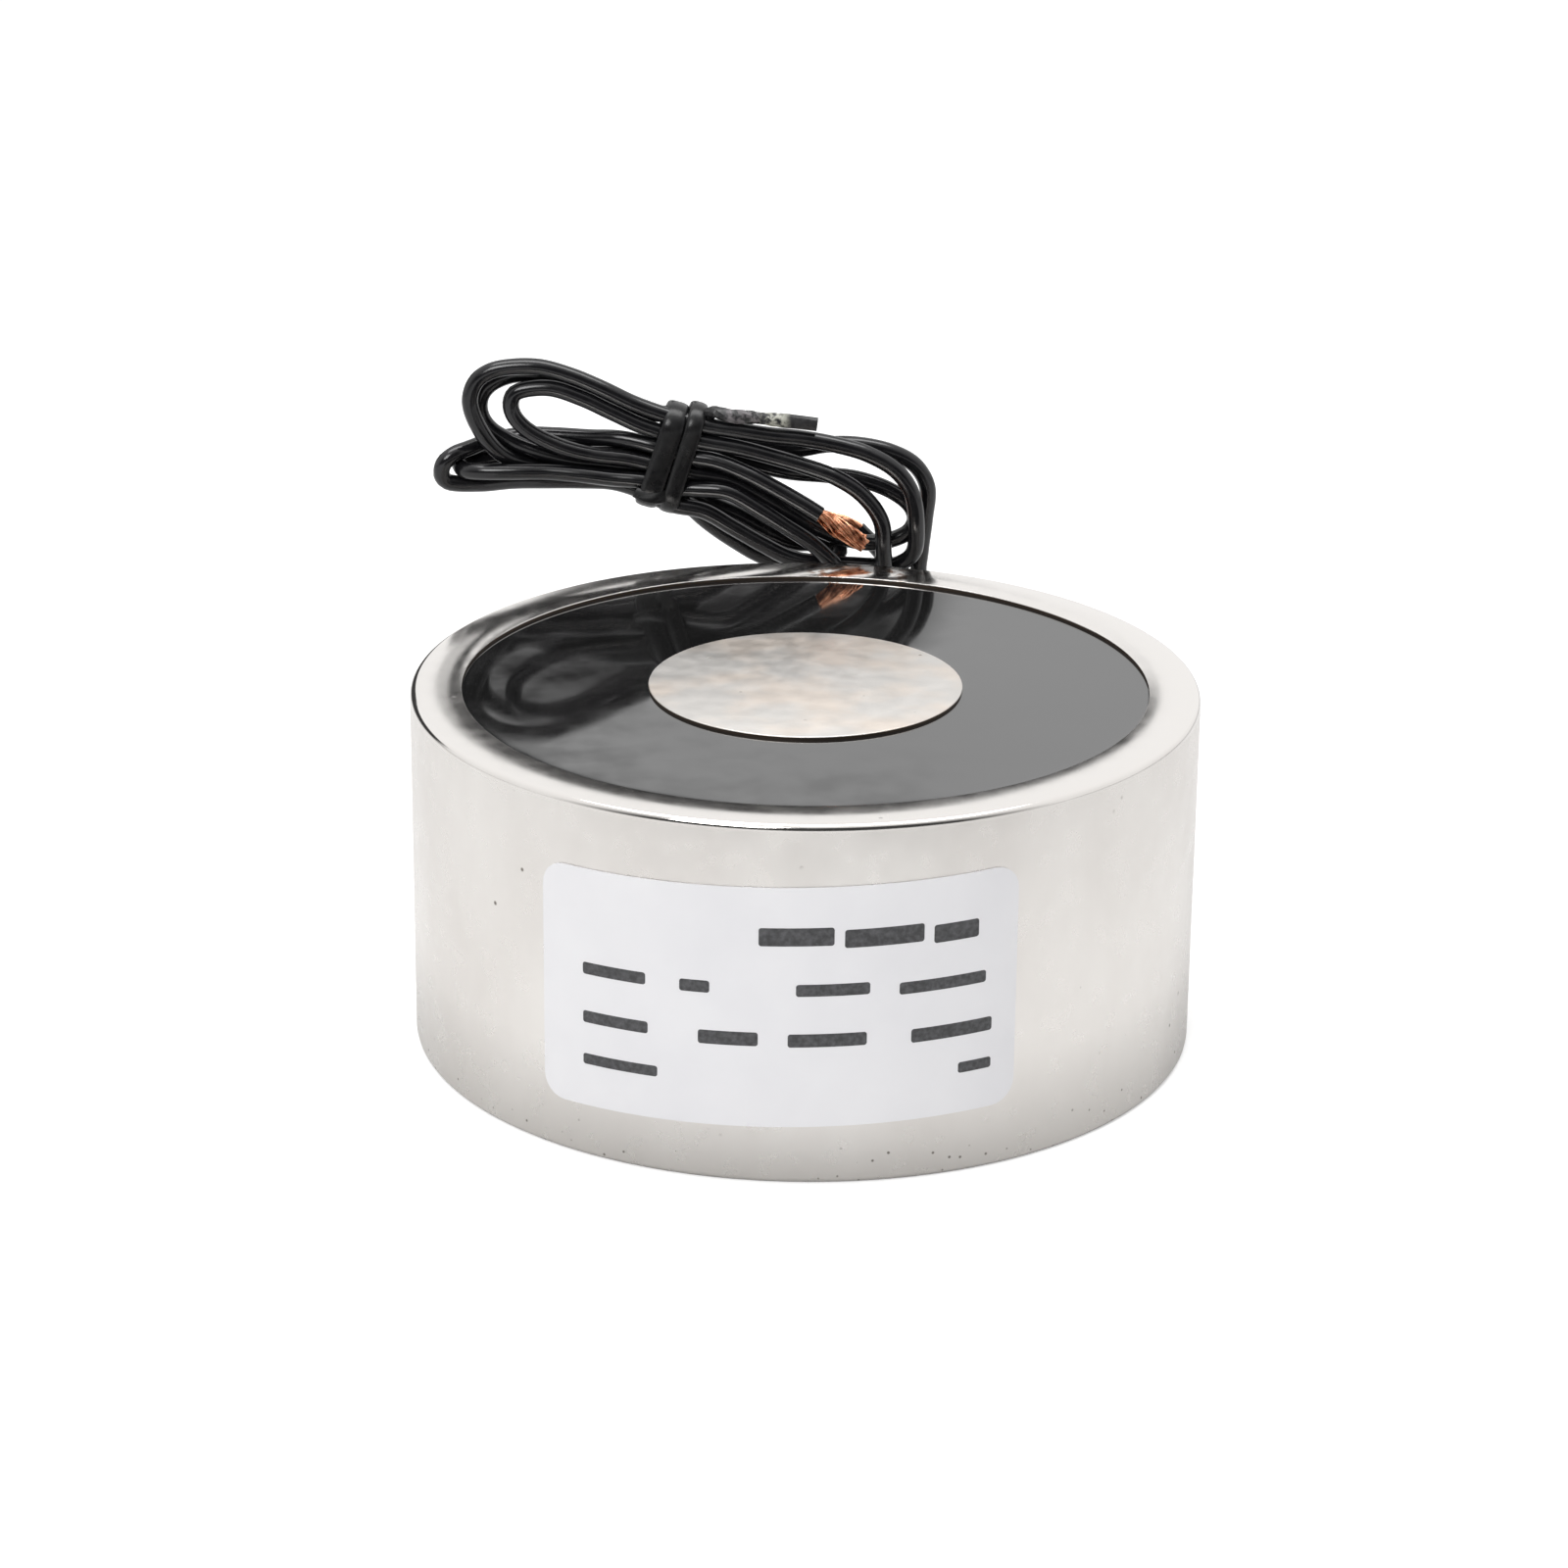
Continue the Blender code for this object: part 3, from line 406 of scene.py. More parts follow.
def cast_resin():
    """Glossy black resin, poured, with slow waves and a little dust."""
    m = new_finish("cast_resin", (0.008, 0.008, 0.008), 0.05, IOR=2.1)
    dust = pits(m, 1.6, 0.045)
    colour = tint(m, times(m, dust, 0.6), (0.008, 0.008, 0.008), (0.12, 0.12, 0.12))
    rough = span(m, cloud(m, 0.35, 4.0), 0.3, 0.7, 0.035, 0.085)
    bump = relief(m, cloud(m, 0.10, 1.0), 0.018)
    bump = relief(m, dust, 0.003, bump)
    finish_with(m, Base_Color=colour, Roughness=rough, Normal=bump)
    return m


def label_film():
    return clouded(
        "label_film", (0.75, 0.745, 0.76), 0.42,
        (0.12, 3.0, 0.3, 0.7, (0.72, 0.715, 0.735), (0.765, 0.76, 0.775)),
        (0.6, 3.0, 0.36, 0.48), (1.2, 3.0, 0.004))


def label_ink():
    m = new_finish("label_ink", (0.06, 0.06, 0.062), 0.5)
    colour = tint(m, span(m, cloud(m, 2.5, 3.0), 0.35, 0.75), (0.035, 0.035, 0.037), (0.085, 0.085, 0.09))
    finish_with(m, Base_Color=colour, Normal=relief(m, cloud(m, 4.0, 2.0), 0.002))
    return m


def lead_insulation():
    """Black soft insulation with a slight sheen and handling marks."""
    m = new_finish("lead_insulation", (0.006, 0.006, 0.007), 0.2, Specular_IOR_Level=0.5)
    colour = tint(m, span(m, cloud(m, 0.8, 4.0), 0.35, 0.7), (0.004, 0.004, 0.005), (0.009, 0.009, 0.010))
    rough = span(m, cloud(m, 0.7, 3.0), 0.3, 0.7, 0.15, 0.23)
    bump = relief(m, cloud(m, 0.45, 2.0), 0.025)
    bump = relief(m, cloud(m, 6.0, 3.0), 0.001, bump)
    finish_with(m, Base_Color=colour, Roughness=rough, Normal=bump)
    return m


def tie_plastic():
    """Matte black ribbon with a fine lengthwise grain."""
    m = new_finish("tie_plastic", (0.006, 0.006, 0.006), 0.3, Specular_IOR_Level=0.35)
    colour = tint(m, span(m, cloud(m, 1.5, 3.0), 0.35, 0.7), (0.004, 0.004, 0.0045), (0.009, 0.009, 0.0095))
    rough = span(m, cloud(m, 1.0, 3.0), 0.3, 0.7, 0.24, 0.34)
    bump = relief(m, cloud(m, 1.2, 3.0, (1.0, 1.0, 0.3)), 0.02)
    finish_with(m, Base_Color=colour, Roughness=rough, Normal=bump)
    return m


def tail_painted_highlights():
    """The same ribbon along its twisted tail, with painted grey highlights on one stretch and a pale cream
    patch on the next.
    """
    m = new_finish("tail_painted_highlights", (0.012, 0.012, 0.013), 0.4, Specular_IOR_Level=0.5)
    place = add(m, "SeparateXYZ", [("Vector", spots(m))])
    grain = cloud(m, 1.4, 4.0)
    # Painted highlight: grey patches along this stretch of the tail
    painted_highlight = times(m, span(m, place["X"], -7.6, -7.0), span(m, place["X"], -3.9, -4.5),
                  span(m, grain, 0.46, 0.56))
    pale = times(m, span(m, place["X"], -4.4, -3.8), span(m, place["X"], -1.5, -2.2),
                 span(m, grain, 0.42, 0.54))
    # The grey of the painted highlight, then the pale cream patch
    colour = tint(m, painted_highlight, (0.012, 0.012, 0.013), (0.12, 0.11, 0.115))
    colour = tint(m, pale, colour, (0.34, 0.34, 0.29))
    rough = span(m, cloud(m, 1.0, 3.0), 0.3, 0.7, 0.25, 0.5)
    finish_with(m, Base_Color=colour, Roughness=rough, Normal=relief(m, grain, 0.12))
    return m


def bare_copper():
    return clouded(
        "bare_copper", (0.72, 0.34, 0.19), 0.28,
        # The copper's tone runs from bright orange to near-black brown: partly its own uneven colour, and
        # partly painted shade for the dark gaps between the fanned strands
        (1.2, 4.0, 0.38, 0.62, (0.86, 0.43, 0.26), (0.20, 0.06, 0.025)),
        (2.0, 3.0, 0.24, 0.42), (9.0, 2.0, 0.003), Metallic=1.0)


def soft_sleeve():
    return clouded(
        "soft_sleeve", (0.02, 0.02, 0.02), 0.6,
        (0.9, 4.0, 0.3, 0.7, (0.014, 0.014, 0.014), (0.04, 0.04, 0.04)),
        (1.4, 3.0, 0.5, 0.72), (3.0, 3.0, 0.015))


def moulded_nylon():
    return clouded(
        "moulded_nylon", (0.62, 0.6, 0.55), 0.5,
        (0.2, 3.0, 0.3, 0.7, (0.58, 0.56, 0.50), (0.68, 0.66, 0.61)),
        (0.8, 3.0, 0.42, 0.6), (2.0, 3.0, 0.01), Subsurface_Weight=0.1)


def wound_wire():
    """Turns of enamelled wire, seen as fine rings one above the other."""
    m = new_finish("wound_wire", (0.5, 0.18, 0.07), 0.3, Metallic=0.7, Coat_Weight=0.5)
    rings = add(m, "TexWave", [("Vector", spots(m)), ("Scale", 1.1), ("Distortion", 0.4)],
                wave_type="BANDS", bands_direction="Z")["Fac"]
    colour = tint(m, rings, (0.26, 0.08, 0.03), (0.62, 0.25, 0.10))
    colour = tint(m, span(m, cloud(m, 0.4, 3.0), 0.3, 0.8, 0.0, 0.4), colour, (0.40, 0.13, 0.05))
    finish_with(m, Base_Color=colour, Normal=relief(m, rings, 0.08))
    return m


def amber_tape():
    return clouded(
        "amber_tape", (0.72, 0.5, 0.1), 0.28,
        (0.3, 4.0, 0.3, 0.7, (0.62, 0.40, 0.07), (0.80, 0.58, 0.16)),
        (0.7, 3.0, 0.2, 0.4), (0.5, 3.0, 0.04), Coat_Weight=0.3)


def woven_sleeving():
    """White glass-fibre sleeving, a fine plain weave."""
    m = new_finish("woven_sleeving", (0.75, 0.74, 0.7), 0.75)
    cross = times(m, *(add(m, "TexWave", [("Vector", spots(m)), ("Scale", 1.4)], wave_type="BANDS",
                           bands_direction=way)["Fac"] for way in ("X", "Z")))
    colour = tint(m, cross, (0.60, 0.58, 0.53), (0.80, 0.79, 0.75))
    colour = tint(m, span(m, cloud(m, 0.6, 3.0), 0.4, 0.8, 0.0, 0.3), colour, (0.64, 0.60, 0.50))
    finish_with(m, Base_Color=colour, Normal=relief(m, cross, 0.03))
    return m


def dull_solder():
    return clouded(
        "dull_solder", (0.58, 0.58, 0.58), 0.42,
        (1.5, 4.0, 0.3, 0.7, (0.50, 0.50, 0.51), (0.66, 0.66, 0.65)),
        (2.0, 3.0, 0.3, 0.55), (2.5, 3.0, 0.04), Metallic=1.0)


def piece(name, mesh_or_bmesh, material, slot, *nodes):
    """Makes a finished piece of the magnet: riding on the root, standing for its nodes."""
    mesh = mesh_or_bmesh
    if isinstance(mesh, bmesh.types.BMesh):
        mesh = bpy.data.meshes.new(name)
        mesh_or_bmesh.to_mesh(mesh)
        mesh_or_bmesh.free()
    mesh.name = name
    made = bpy.data.objects.new(name, mesh)
    bpy.context.scene.collection.objects.link(made)
    made.data.materials.clear()
    made.data.materials.append(material)
    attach(made, "root")
    if nodes:
        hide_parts(*nodes)
    return made


def shade_smooth(mesh, sharp_over=math.radians(32)):
    for face in mesh.polygons:
        face.use_smooth = True
    mesh.set_sharp_from_angle(angle=sharp_over)


def add_solid(bm, other):
    """Adds another solid's faces to a solid, and lets the other go."""
    mesh = bpy.data.meshes.new("added")
    other.to_mesh(mesh)
    other.free()
    bm.from_mesh(mesh)
    bpy.data.meshes.remove(mesh)


def spin_profile(profile, closed):
    """Turns a profile of (radius, height) about the middle."""
    bm = bmesh.new()
    ring = [bm.verts.new((radius, 0, height)) for radius, height in profile]
    pairs = list(zip(ring, ring[1:]))
    if closed:
        pairs.append((ring[-1], ring[0]))
    edges = [bm.edges.new(pair) for pair in pairs]
    bmesh.ops.spin(bm, geom=ring + edges, cent=(0, 0, 0), axis=(0, 0, 1), angle=math.tau,
                   steps=SPIN_STEPS, use_merge=True)
    bmesh.ops.remove_doubles(bm, verts=bm.verts, dist=1e-7)
    bmesh.ops.recalc_face_normals(bm, faces=bm.faces)
    return bm


def round_ring(bm, radius, height, size, segments=3):
    """Rounds the ring edge at that radius and height."""
    def on_ring(vert):
        return abs(math.hypot(vert.co.x, vert.co.y) - radius) < 1e-6 and abs(vert.co.z - height) < 1e-6
    edges = [edge for edge in bm.edges if all(on_ring(vert) for vert in edge.verts)]
    bmesh.ops.bevel(bm, geom=edges, offset=size, segments=segments, profile=0.5, affect="EDGES",
                    clamp_overlap=True, material=-1)


def exit_frame(reach):
    """Turns a piece's own +Z to point out along the leads' exit, and puts it that far out."""
    out = Vector((math.sin(EXIT_ANGLE), math.cos(EXIT_ANGLE), 0))
    turn = out.to_track_quat("Z", "Y").to_matrix().to_4x4()
    return Matrix.Translation(out * reach + Vector((0, 0, EXIT_HEIGHT))) @ turn


def cut_away(bm, tool, name):
    """Takes the tool's volume out of a solid."""
    objects = []
    for part_name, shape in ((name, bm), (name + "_tool", tool)):
        mesh = bpy.data.meshes.new(part_name)
        shape.to_mesh(mesh)
        shape.free()
        made = bpy.data.objects.new(part_name, mesh)
        bpy.context.scene.collection.objects.link(made)
        objects.append(made)
    solid, cutter = objects
    cut = solid.modifiers.new("cut", "BOOLEAN")
    cut.operation = "DIFFERENCE"
    cut.solver = "EXACT"
    cut.object = cutter
    bpy.context.view_layer.update()
    result = bpy.data.meshes.new_from_object(solid.evaluated_get(bpy.context.evaluated_depsgraph_get()))
    for made in objects:
        bpy.data.objects.remove(made)
    return result


def make_pot(nickel):
    top = POT_HEIGHT
    profile = [
        (0, top), (CORE_RADIUS, top), (CORE_RADIUS, POT_FLOOR), (CAVITY_RADIUS, POT_FLOOR),
        (CAVITY_RADIUS, top), (POT_RADIUS, top), (POT_RADIUS, 0), (TAP_RADIUS + TAP_MOUTH, 0),
        (TAP_RADIUS, TAP_MOUTH), (TAP_RADIUS, TAP_DEPTH), (0, TAP_DEPTH + TAP_POINT),
    ]
    bm = spin_profile(profile, False)
    round_ring(bm, POT_RADIUS, top, POT_ROUNDING, 4)
    round_ring(bm, POT_RADIUS, 0, POT_ROUNDING, 4)
    round_ring(bm, CAVITY_RADIUS, top, CAVITY_ROUNDING)
    round_ring(bm, CORE_RADIUS, top, POLE_ROUNDING)
    tool = bmesh.new()
    bmesh.ops.create_cone(tool, cap_ends=True, segments=64, radius1=EXIT_HOLE_RADIUS,
                          radius2=EXIT_HOLE_RADIUS, depth=EXIT_DRILL_LENGTH)
    bmesh.ops.transform(tool, matrix=exit_frame(EXIT_DRILL_MIDDLE), verts=tool.verts)
    mesh = cut_away(bm, tool, "pot")
    shade_smooth(mesh)
    piece("turned_pot", mesh, nickel, "nickel_plate", "pot_housing")


def make_thread(nickel):
    """The ridge of the tapped thread, standing in from the wall of its hole."""
    turns = (TAP_DEPTH - TAP_MOUTH * 2) / TAP_PITCH - 1
    half = TAP_PITCH * 0.47
    start = TAP_MOUTH * 1.2 + half
    bm = bmesh.new()
    profile = [(THREAD_ROOT, -half), (TAP_CREST, -half * 0.14), (TAP_CREST, half * 0.14),
               (THREAD_ROOT, half)]
    face = bm.faces.new([bm.verts.new((radius, 0, start + up)) for radius, up in profile])
    bmesh.ops.spin(bm, geom=[face, *face.edges, *face.verts], cent=(0, 0, 0), axis=(0, 0, 1),
                   dvec=(0, 0, TAP_PITCH / THREAD_STEPS), angle=math.tau * turns,
                   steps=int(THREAD_STEPS * turns), use_merge=False)
    bmesh.ops.recalc_face_normals(bm, faces=bm.faces)
    made = piece("tapped_thread", bm, nickel, "nickel_plate")
    shade_smooth(made.data)


def make_resin(resin):
    """The poured ring, dished between the pole and the wall and crept up both."""
    width = CAVITY_RADIUS - CORE_RADIUS
    profile = [(CORE_RADIUS, RESIN_UNDERSIDE)]
    marks = [mark * MM for mark in RESIN_MARKS]
    for across in marks + [width - mark for mark in reversed(marks)]:
        share = across / width
        edge = min(across, width - across)
        up = RESIN_EDGE - RESIN_DISH * 4 * share * (1 - share)
        up += RESIN_CREEP * math.exp(-edge / RESIN_CREEP_WIDTH)
        profile.append((CORE_RADIUS + across, RESIN_TOP + up))
    profile.append((CAVITY_RADIUS, RESIN_UNDERSIDE))
    made = piece("poured_resin", spin_profile(profile, True), resin, "potting_resin", "potting_resin")
    shade_smooth(made.data, math.radians(60))


def make_sleeve(soft):
    """The short sleeve round both leads, with a soft lip at each end."""
    bm = spin_profile([(SLEEVE_BORE, SLEEVE_START), (SLEEVE_RADIUS, SLEEVE_START),
                       (SLEEVE_RADIUS, SLEEVE_END), (SLEEVE_BORE, SLEEVE_END)], True)
    for radius in (SLEEVE_BORE, SLEEVE_RADIUS):
        for height in (SLEEVE_START, SLEEVE_END):
            round_ring(bm, radius, height, SLEEVE_LIP)
    bmesh.ops.transform(bm, matrix=exit_frame(0), verts=bm.verts)
    made = piece("leads_sleeve", bm, soft, "exit_sleeve", "exit_sleeve")
    shade_smooth(made.data)


def wrapped_patch(bm, centre, size, corner, radius, thickness):
    """Adds a thin plate with round corners, bent round the wall. centre and size are on the label."""
    patch = bmesh.new()
    bmesh.ops.create_grid(patch, x_segments=1, y_segments=1, size=0.5)
    for vert in patch.verts:
        vert.co.x = centre[0] + vert.co.x * size[0]
        vert.co.y = centre[1] + vert.co.y * size[1]
    if corner:
        bmesh.ops.bevel(patch, geom=patch.verts, offset=corner, segments=6, profile=0.5, affect="VERTICES",
                        material=-1)
    at = centre[0] - size[0] / 2 + LABEL_STEP
    while at < centre[0] + size[0] / 2 - LABEL_STEP / 4:
        bmesh.ops.bisect_plane(patch, geom=patch.verts[:] + patch.edges[:] + patch.faces[:],
                               plane_co=(at, 0, 0), plane_no=(1, 0, 0), dist=1e-8)
        at += LABEL_STEP
    grown = bmesh.ops.extrude_face_region(patch, geom=patch.faces[:], use_keep_orig=True)
    for vert in [item for item in grown["geom"] if isinstance(item, bmesh.types.BMVert)]:
        vert.co.z += thickness
    for vert in patch.verts:
        angle = vert.co.x / POT_RADIUS + LABEL_TURN
        height = LABEL_CENTRE_HEIGHT + vert.co.y + vert.co.x * math.tan(LABEL_SLANT)
        out = radius + vert.co.z
        vert.co = (out * math.sin(angle), -out * math.cos(angle), height)
    bmesh.ops.recalc_face_normals(patch, faces=patch.faces)
    add_solid(bm, patch)


def make_label(film):
    bm = bmesh.new()
    wrapped_patch(bm, (0, 0), (LABEL_WIDTH, LABEL_HEIGHT), LABEL_CORNER, LABEL_INSIDE, LABEL_THICKNESS)
    made = piece("wall_label", bm, film, "label_film", "rating_label")
    shade_smooth(made.data)


def make_bars(ink):
    """The plain bars of ink printed on the label."""
    bm = bmesh.new()
    inside = LABEL_INSIDE + LABEL_THICKNESS - INK_THICKNESS / 2
    for left, right, height, tall in LABEL_BARS:
        centre = ((left + right) / 2 * MM, height * MM)
        size = ((right - left) * MM, tall * MM)
        wrapped_patch(bm, centre, size, INK_CORNER, inside, INK_THICKNESS)
    made = piece("label_bars", bm, ink, "label_film")
    shade_smooth(made.data)


def smooth_route(points, spacing):
    """A smooth line through the points, with its own points that far apart."""
    line = [Vector(point) for point in points]
    line = [line[0] * 2 - line[1], *line, line[-1] * 2 - line[-2]]
    fine = []
    for before, start, end, after in zip(line, line[1:], line[2:], line[3:]):
        knots = [0.0]
        for first, second in ((before, start), (start, end), (end, after)):
            knots.append(knots[-1] + max((second - first).length, 1e-9) ** 0.5)
        k0, k1, k2, k3 = knots
        for i in range(12):
            at = k1 + (k2 - k1) * i / 12
            a1 = before.lerp(start, (at - k0) / (k1 - k0))
            a2 = start.lerp(end, (at - k1) / (k2 - k1))
            a3 = end.lerp(after, (at - k2) / (k3 - k2))
            b1 = a1.lerp(a2, (at - k0) / (k2 - k0))
            b2 = a2.lerp(a3, (at - k1) / (k3 - k1))
            fine.append(b1.lerp(b2, (at - k1) / (k2 - k1)))
    fine.append(line[-2])
    even, left = [fine[0]], spacing
    for first, second in zip(fine, fine[1:]):
        run = (second - first).length
        while run >= left > 0:
            first = first.lerp(second, left / run)
            even.append(first)
            run -= left
            left = spacing
        left -= run
    even[-1] = fine[-1]
    return even


def tube(name, lines, radius, sides):
    """A curve of round section along each line."""
    curve = bpy.data.curves.new(name, "CURVE")
    curve.dimensions = "3D"
    curve.bevel_depth = radius
    curve.bevel_resolution = sides
    curve.use_fill_caps = True
    for line in lines:
        spline = curve.splines.new("POLY")
        spline.points.add(len(line) - 1)
        for spot, place in zip(spline.points, line):
            spot.co = (*place, 1)
    return curve


def make_lead(name, route, black, *nodes):
    line = smooth_route([[part * MM for part in point] for point in route], LEAD_SPACING)
    return piece(name, tube(name, [line], LEAD_RADIUS, 4), black, "lead_insulation", *nodes)


def make_strands(name, route, copper, fanned, node):
    """A fanned bundle of fine wires round the middle line."""
    rnd = random.Random(len(name) + 7)
    middle = [Vector(point) * MM for point in route]
    along = (middle[-1] - middle[0]).normalized()
    up = Vector((-along.z, 0, along.x)).normalized()
    deep = along.cross(up)
    lines = []
    for ring, count in STRAND_RINGS:
        for i in range(count):
            start = math.tau * i / count + rnd.uniform(-0.25, 0.25)
            lay = rnd.uniform(1.6, 3.0)
            fan = rnd.uniform(0.3, 0.8) * fanned
            bow = rnd.uniform(-0.14, 0.14)
            line = []
            for j, place in enumerate(middle):
                share = j / (len(middle) - 1)
                angle = start + lay * share
                side = up * math.cos(angle) + deep * math.sin(angle) * 0.8
                reach = ring * (0.8 + fan * min(share * 2.5, 1.0)) + bow * math.sin(share * math.pi)
                line.append(place + side * reach * MM)
            line[-1] += along * rnd.uniform(-0.7, 0.15) * MM
            lines.append(smooth_route(line, STRAND_SPACING))
    curve = tube(name, lines, STRAND_RADIUS, 1)
    holder = bpy.data.objects.new(name, curve)
    mesh = bpy.data.meshes.new_from_object(holder)
    bpy.data.objects.remove(holder)
    for face in mesh.polygons:
        face.use_smooth = True
    return piece(name, mesh, copper, "bare_copper", node)


def sweep(frames, section, closed):
    """Carries a flat section of (across, out) along frames of (place, across, out)."""
    bm = bmesh.new()

    def spread(place, across, out):
        return [place + across * a + out * b for a, b in section]

    first = [bm.verts.new(spot) for spot in spread(*frames[0])]
    ring = [bm.edges.new((first[i], first[(i + 1) % len(first)])) for i in range(len(first))]
    start, edges, verts = ring, ring, first
    for frame_here in frames[1:]:
        grown = bmesh.ops.extrude_edge_only(bm, edges=edges)["geom"]
        new_edges = [item for item in grown if isinstance(item, bmesh.types.BMEdge)]
        nearest = {}
        for edge in new_edges:
            for vert in edge.verts:
                nearest[vert] = min(range(len(verts)), key=lambda i: (verts[i].co - vert.co).length)
        order = sorted(nearest, key=nearest.get)
        for vert, spot in zip(order, spread(*frame_here)):
            vert.co = spot
        verts = order
        edges = [edge for edge in new_edges if edge.verts[0] in nearest and edge.verts[1] in nearest]
    if closed:
        bmesh.ops.bridge_loops(bm, edges=start + edges)
    else:
        for loop in (start, edges):
            bmesh.ops.contextual_create(bm, geom=loop)
    bmesh.ops.recalc_face_normals(bm, faces=bm.faces)
    return bm


def round_section(width, thickness):
    """The section of a soft round-sided band, across and out."""
    section = []
    for i in range(TIE_SECTION_STEPS):
        angle = math.tau * i / TIE_SECTION_STEPS
        across, out = math.cos(angle), math.sin(angle)
        section.append((math.copysign(abs(across) ** 0.75, across) * width / 2,
                        math.copysign(abs(out) ** 0.9, out) * thickness / 2))
    return section


def strip_section(width, thickness):
    """A flat strip's section with round edges, across and out."""
    half, edge = width / 2, thickness / 2
    right = [(half - edge + edge * math.cos(a), edge * math.sin(a)) for a in STRIP_EDGE_ANGLES]
    left = [(-across, -out) for across, out in right]
    return right + left


def tie_loop(offset, lean, rise):
    """The line of one turn of the tie round the hank, as frames."""
    along = Vector((math.cos(TIE_SLOPE), 0, math.sin(TIE_SLOPE)))
    up = Vector((-along.z, 0, along.x))
    deep = Vector((0, 1, 0))
    frames = []
    for corner, (side, top) in enumerate(((1, 1), (-1, 1), (-1, -1), (1, -1))):
        for i in range(TIE_CORNER_STEPS + 1):
            angle = corner * math.pi / 2 + math.pi / 2 * i / TIE_CORNER_STEPS
            out = deep * math.cos(angle) + up * math.sin(angle)
            centre = deep * (TIE_HALF_DEPTH - TIE_CORNER) * side + up * (TIE_HALF_HEIGHT - TIE_CORNER) * top
            centre += up * rise * max(top, 0)
            height = (centre + out * TIE_CORNER).dot(up)
            aside = along * (offset + lean * height / TIE_HALF_HEIGHT)
            frames.append((Vector(TIE_MIDDLE) + centre + out * TIE_CORNER + aside, along, out))
    return frames


def make_tie(ribbon):
    bm = bmesh.new()
    for offset, lean, rise, width in TIE_TURNS:
        add_solid(bm, sweep(tie_loop(offset, lean, rise), round_section(width, TIE_THICKNESS), True))
    made = piece("hank_band", bm, ribbon, "tie_plastic", "hank_tie")
    shade_smooth(made.data)
    return made


def make_tail(name, marks, size, ribbon):
    """A free end of the tie, a flat strip that twists as it goes."""
    route = smooth_route([Vector(mark[:3]) * MM for mark in marks], TIE_SPACING)
    frames = []
    for i, place in enumerate(route):
        ahead = (route[min(i + 1, len(route) - 1)] - route[max(i - 1, 0)]).normalized()
        up = (Vector((0, 0, 1)) - ahead * ahead.z).normalized()
        share = i / (len(route) - 1) * (len(marks) - 1)
        low = min(int(share), len(marks) - 2)
        turn = marks[low][3] + (marks[low + 1][3] - marks[low][3]) * (share - low)
        across = Matrix.Rotation(math.radians(turn), 3, ahead) @ up
        frames.append((place, across, across.cross(ahead)))
    made = piece(name, sweep(frames, strip_section(*size), False), ribbon, "tie_plastic")
    shade_smooth(made.data)
    return made


def place_camera():
    level, down = math.cos(CAMERA_DOWN), math.sin(CAMERA_DOWN)
    ahead = Vector((math.sin(CAMERA_TURN) * level, math.cos(CAMERA_TURN) * level, -down))
    right = ahead.cross(Vector((0, 0, 1))).normalized()
    up = right.cross(ahead)
    roll_right = right * math.cos(CAMERA_ROLL) + up * math.sin(CAMERA_ROLL)
    roll_up = up * math.cos(CAMERA_ROLL) - right * math.sin(CAMERA_ROLL)
    turn = Matrix((roll_right, roll_up, -ahead)).transposed().to_4x4()
    data = bpy.data.cameras.new("camera")
    data.lens = CAMERA_LENS
    data.sensor_width = CAMERA_SENSOR
    data.clip_start = 0.01
    camera = bpy.data.objects.new("camera", data)
    bpy.context.scene.collection.objects.link(camera)
    camera.matrix_world = Matrix.Translation(CAMERA_PLACE) @ turn
    bpy.context.scene.camera = camera


def area_lamp(name, place, target, size, power):
    data = bpy.data.lights.new(name, "AREA")
    data.shape = "RECTANGLE"
    data.size, data.size_y = size
    data.energy = power
    lamp = bpy.data.objects.new(name, data)
    bpy.context.scene.collection.objects.link(lamp)
    lamp.location = place
    lamp.rotation_euler = (Vector(target) - Vector(place)).to_track_quat("-Z", "Y").to_euler()


def make_floor():
    """A plain pale floor that still takes the magnet's soft shadow."""
    m = new_finish("pale_floor", (0.74, 0.74, 0.74), 0.9, Specular_IOR_Level=0.0)
    colour = tint(m, cloud(m, 0.01, 2.0), (0.72, 0.72, 0.72), (0.76, 0.76, 0.76))
    finish_with(m, Base_Color=colour, Emission_Color=(1, 1, 1, 1))
    seen = add(m, "LightPath")["Is Camera Ray"]
    finish_with(m, Emission_Strength=times(m, seen, FLOOR_LIFT))
    bm = bmesh.new()
    bmesh.ops.create_grid(bm, x_segments=2, y_segments=2, size=FLOOR_SIZE)
    mesh = bpy.data.meshes.new("floor")
    bm.to_mesh(mesh)
    bm.free()
    mesh.materials.append(m)
    floor = bpy.data.objects.new("floor", mesh)
    bpy.context.scene.collection.objects.link(floor)


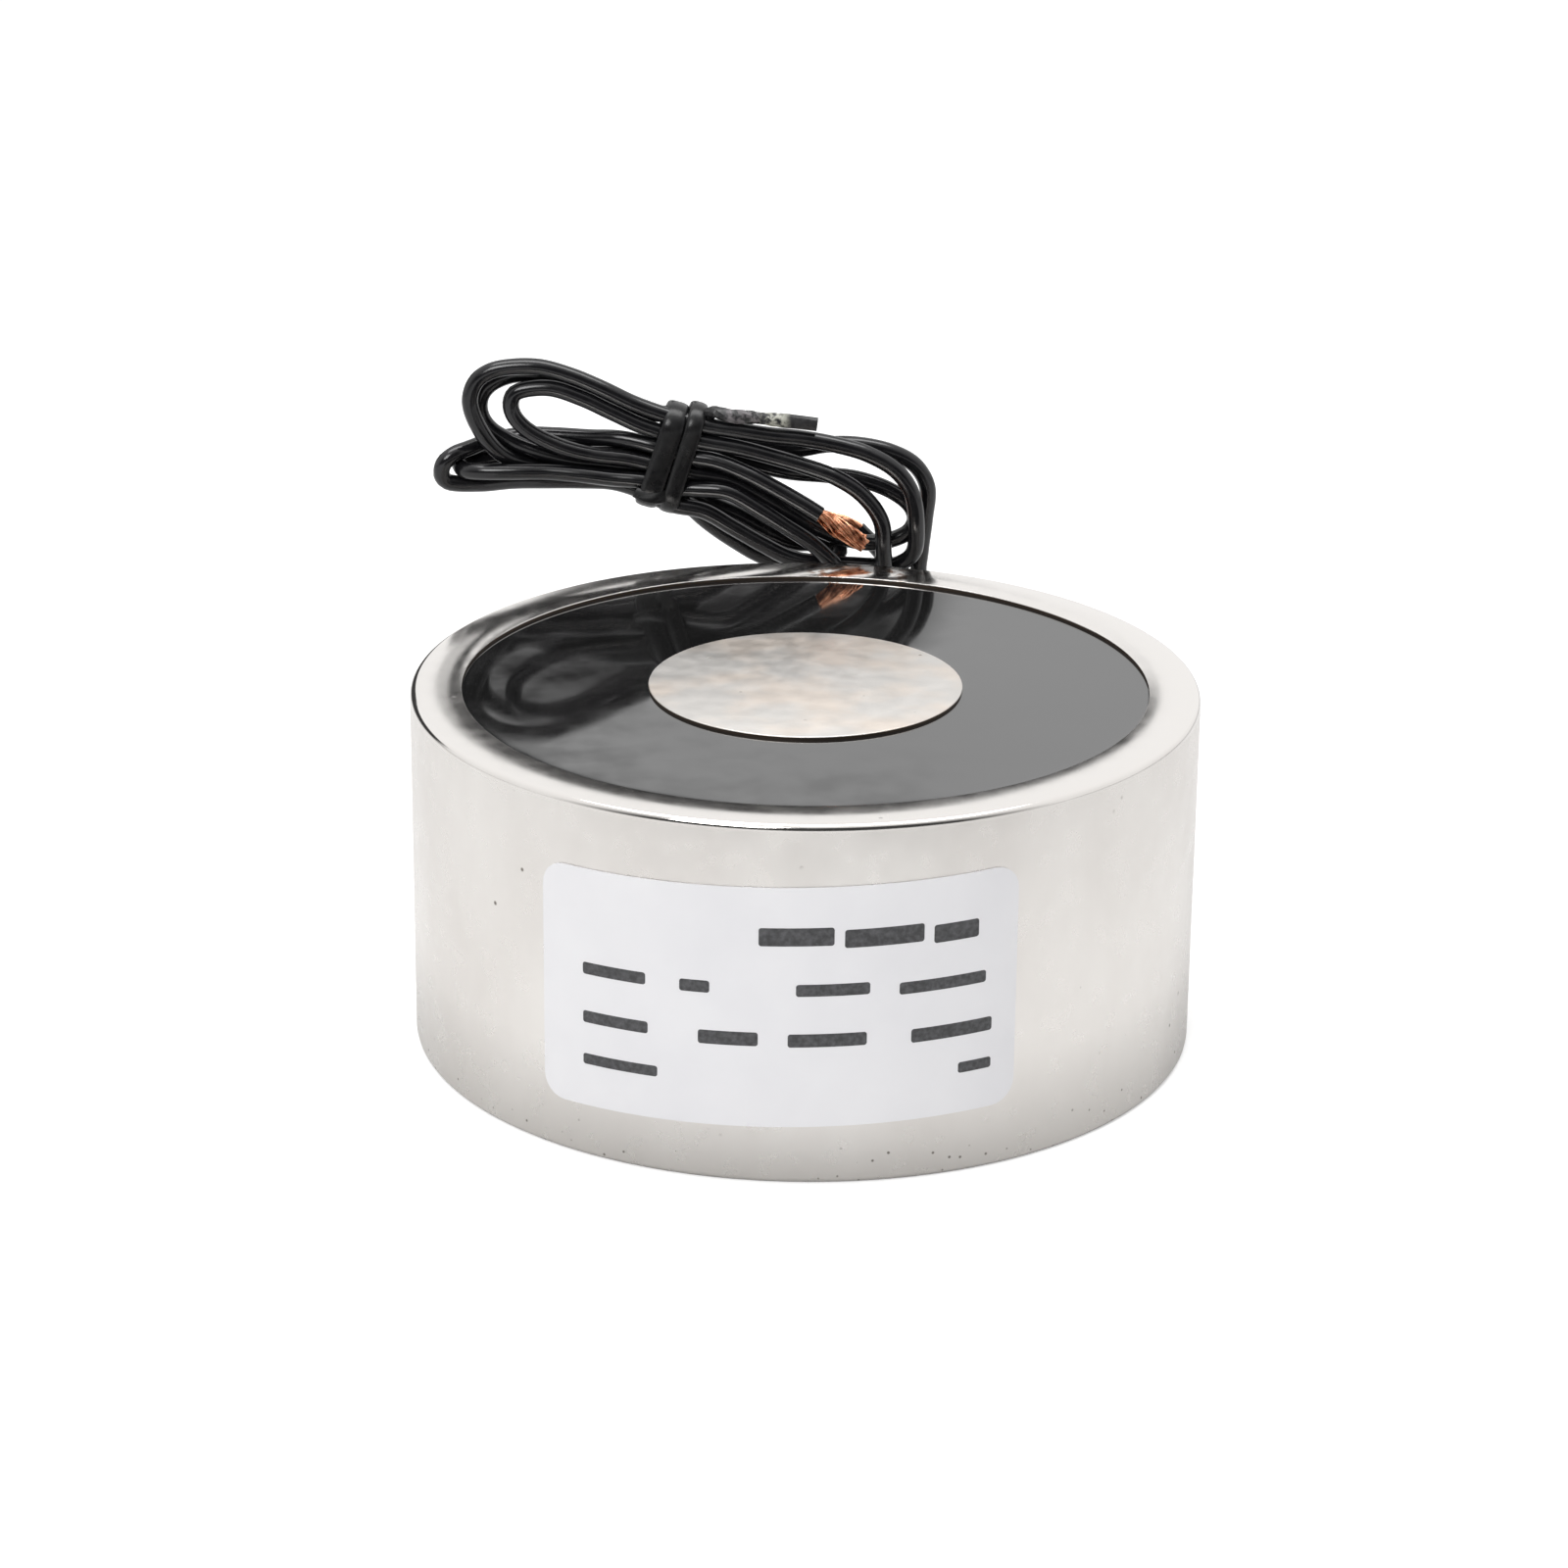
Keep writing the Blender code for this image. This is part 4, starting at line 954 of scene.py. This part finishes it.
def make_surround():
    """White all round, with the dark of the room behind the camera for what mirrors it."""
    world = bpy.data.worlds.new("studio")
    world.use_nodes = True
    bpy.context.scene.world = world
    way = add(world, "SeparateXYZ", [("Vector", add(world, "TexCoord")["Generated"])])
    room = times(world, span(world, way["Y"], *ROOM_FRONT), span(world, way["Z"], *ROOM_BOTTOM),
                 span(world, way["Z"], *ROOM_TOP))
    aside = work(world, "DIVIDE", way["X"], way["Y"])
    shade = times(world, span(world, aside, *SHADE_RIGHT), span(world, aside, *SHADE_LEFT))
    shade = work(world, "MAXIMUM", shade, span(world, aside, *SHADE_PAST))
    shade = times(world, span(world, way["Y"], *SHADE_BACK), shade, span(world, way["Z"], *SHADE_TOP))
    mirrored = span(world, work(world, "MAXIMUM", room, shade), 0.0, 1.0, 1.0, ROOM_DARK)
    light_path = add(world, "LightPath")
    bent = work(world, "MAXIMUM", light_path["Is Glossy Ray"], light_path["Is Transmission Ray"])
    strength = add(world, "Mix", [(0, bent), (2, WORLD_LIGHT), (3, mirrored)])[0]
    strength = add(world, "Mix", [(0, light_path["Is Camera Ray"]), (2, strength), (3, 1.0)])[0]
    background = world.node_tree.nodes["Background"]
    wire_in(world, strength, background.inputs["Strength"])
    wire_in(world, (1, 1, 1, 1), background.inputs["Color"])


def make_studio():
    make_floor()
    make_surround()
    for lamp in LAMPS:
        area_lamp(*lamp)
    bpy.context.scene.view_settings.view_transform = "Standard"


nickel = nickel_plate()
black = lead_insulation()
ribbon = tie_plastic()
copper = bare_copper()
place_camera()
lead_a = make_lead("black_lead_a", LEAD_A_ROUTE, black, "lead_a", "lead_hank")
lead_b = make_lead("black_lead_b", LEAD_B_ROUTE, black, "lead_b", "lead_hank")
strands_a = make_strands("bare_strands_front", BARE_FRONT_ROUTE, copper, FRONT_FAN, "conductor_end_a")
strands_b = make_strands("bare_strands_back", BARE_BACK_ROUTE, copper, BACK_FAN, "conductor_end_b")
band = make_tie(ribbon)
tail = make_tail("band_tail", TIE_TAIL_ROUTE, TAIL_SIZE, tail_painted_highlights())
stub = make_tail("band_stub", TIE_STUB_ROUTE, STUB_SIZE, ribbon)
make_pot(nickel)
make_thread(nickel)
make_resin(cast_resin())
make_sleeve(soft_sleeve())
make_label(label_film())
make_bars(label_ink())
make_studio()

wire = wound_wire()
sleeving = woven_sleeving()
solder = dull_solder()
CAD_FINISHES = {
    "coil_bobbin": moulded_nylon(),
    "coil_winding": wire,
    "winding_tape": amber_tape(),
    "coil_start_tail": wire,
    "coil_finish_tail": wire,
    "joint_sleeve_a": sleeving,
    "joint_sleeve_b": sleeving,
    "soldered_joint_a": solder,
    "soldered_joint_b": solder,
}
for name, material in CAD_FINISHES.items():
    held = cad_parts[name]
    held.data.materials.clear()
    held.data.materials.append(material)
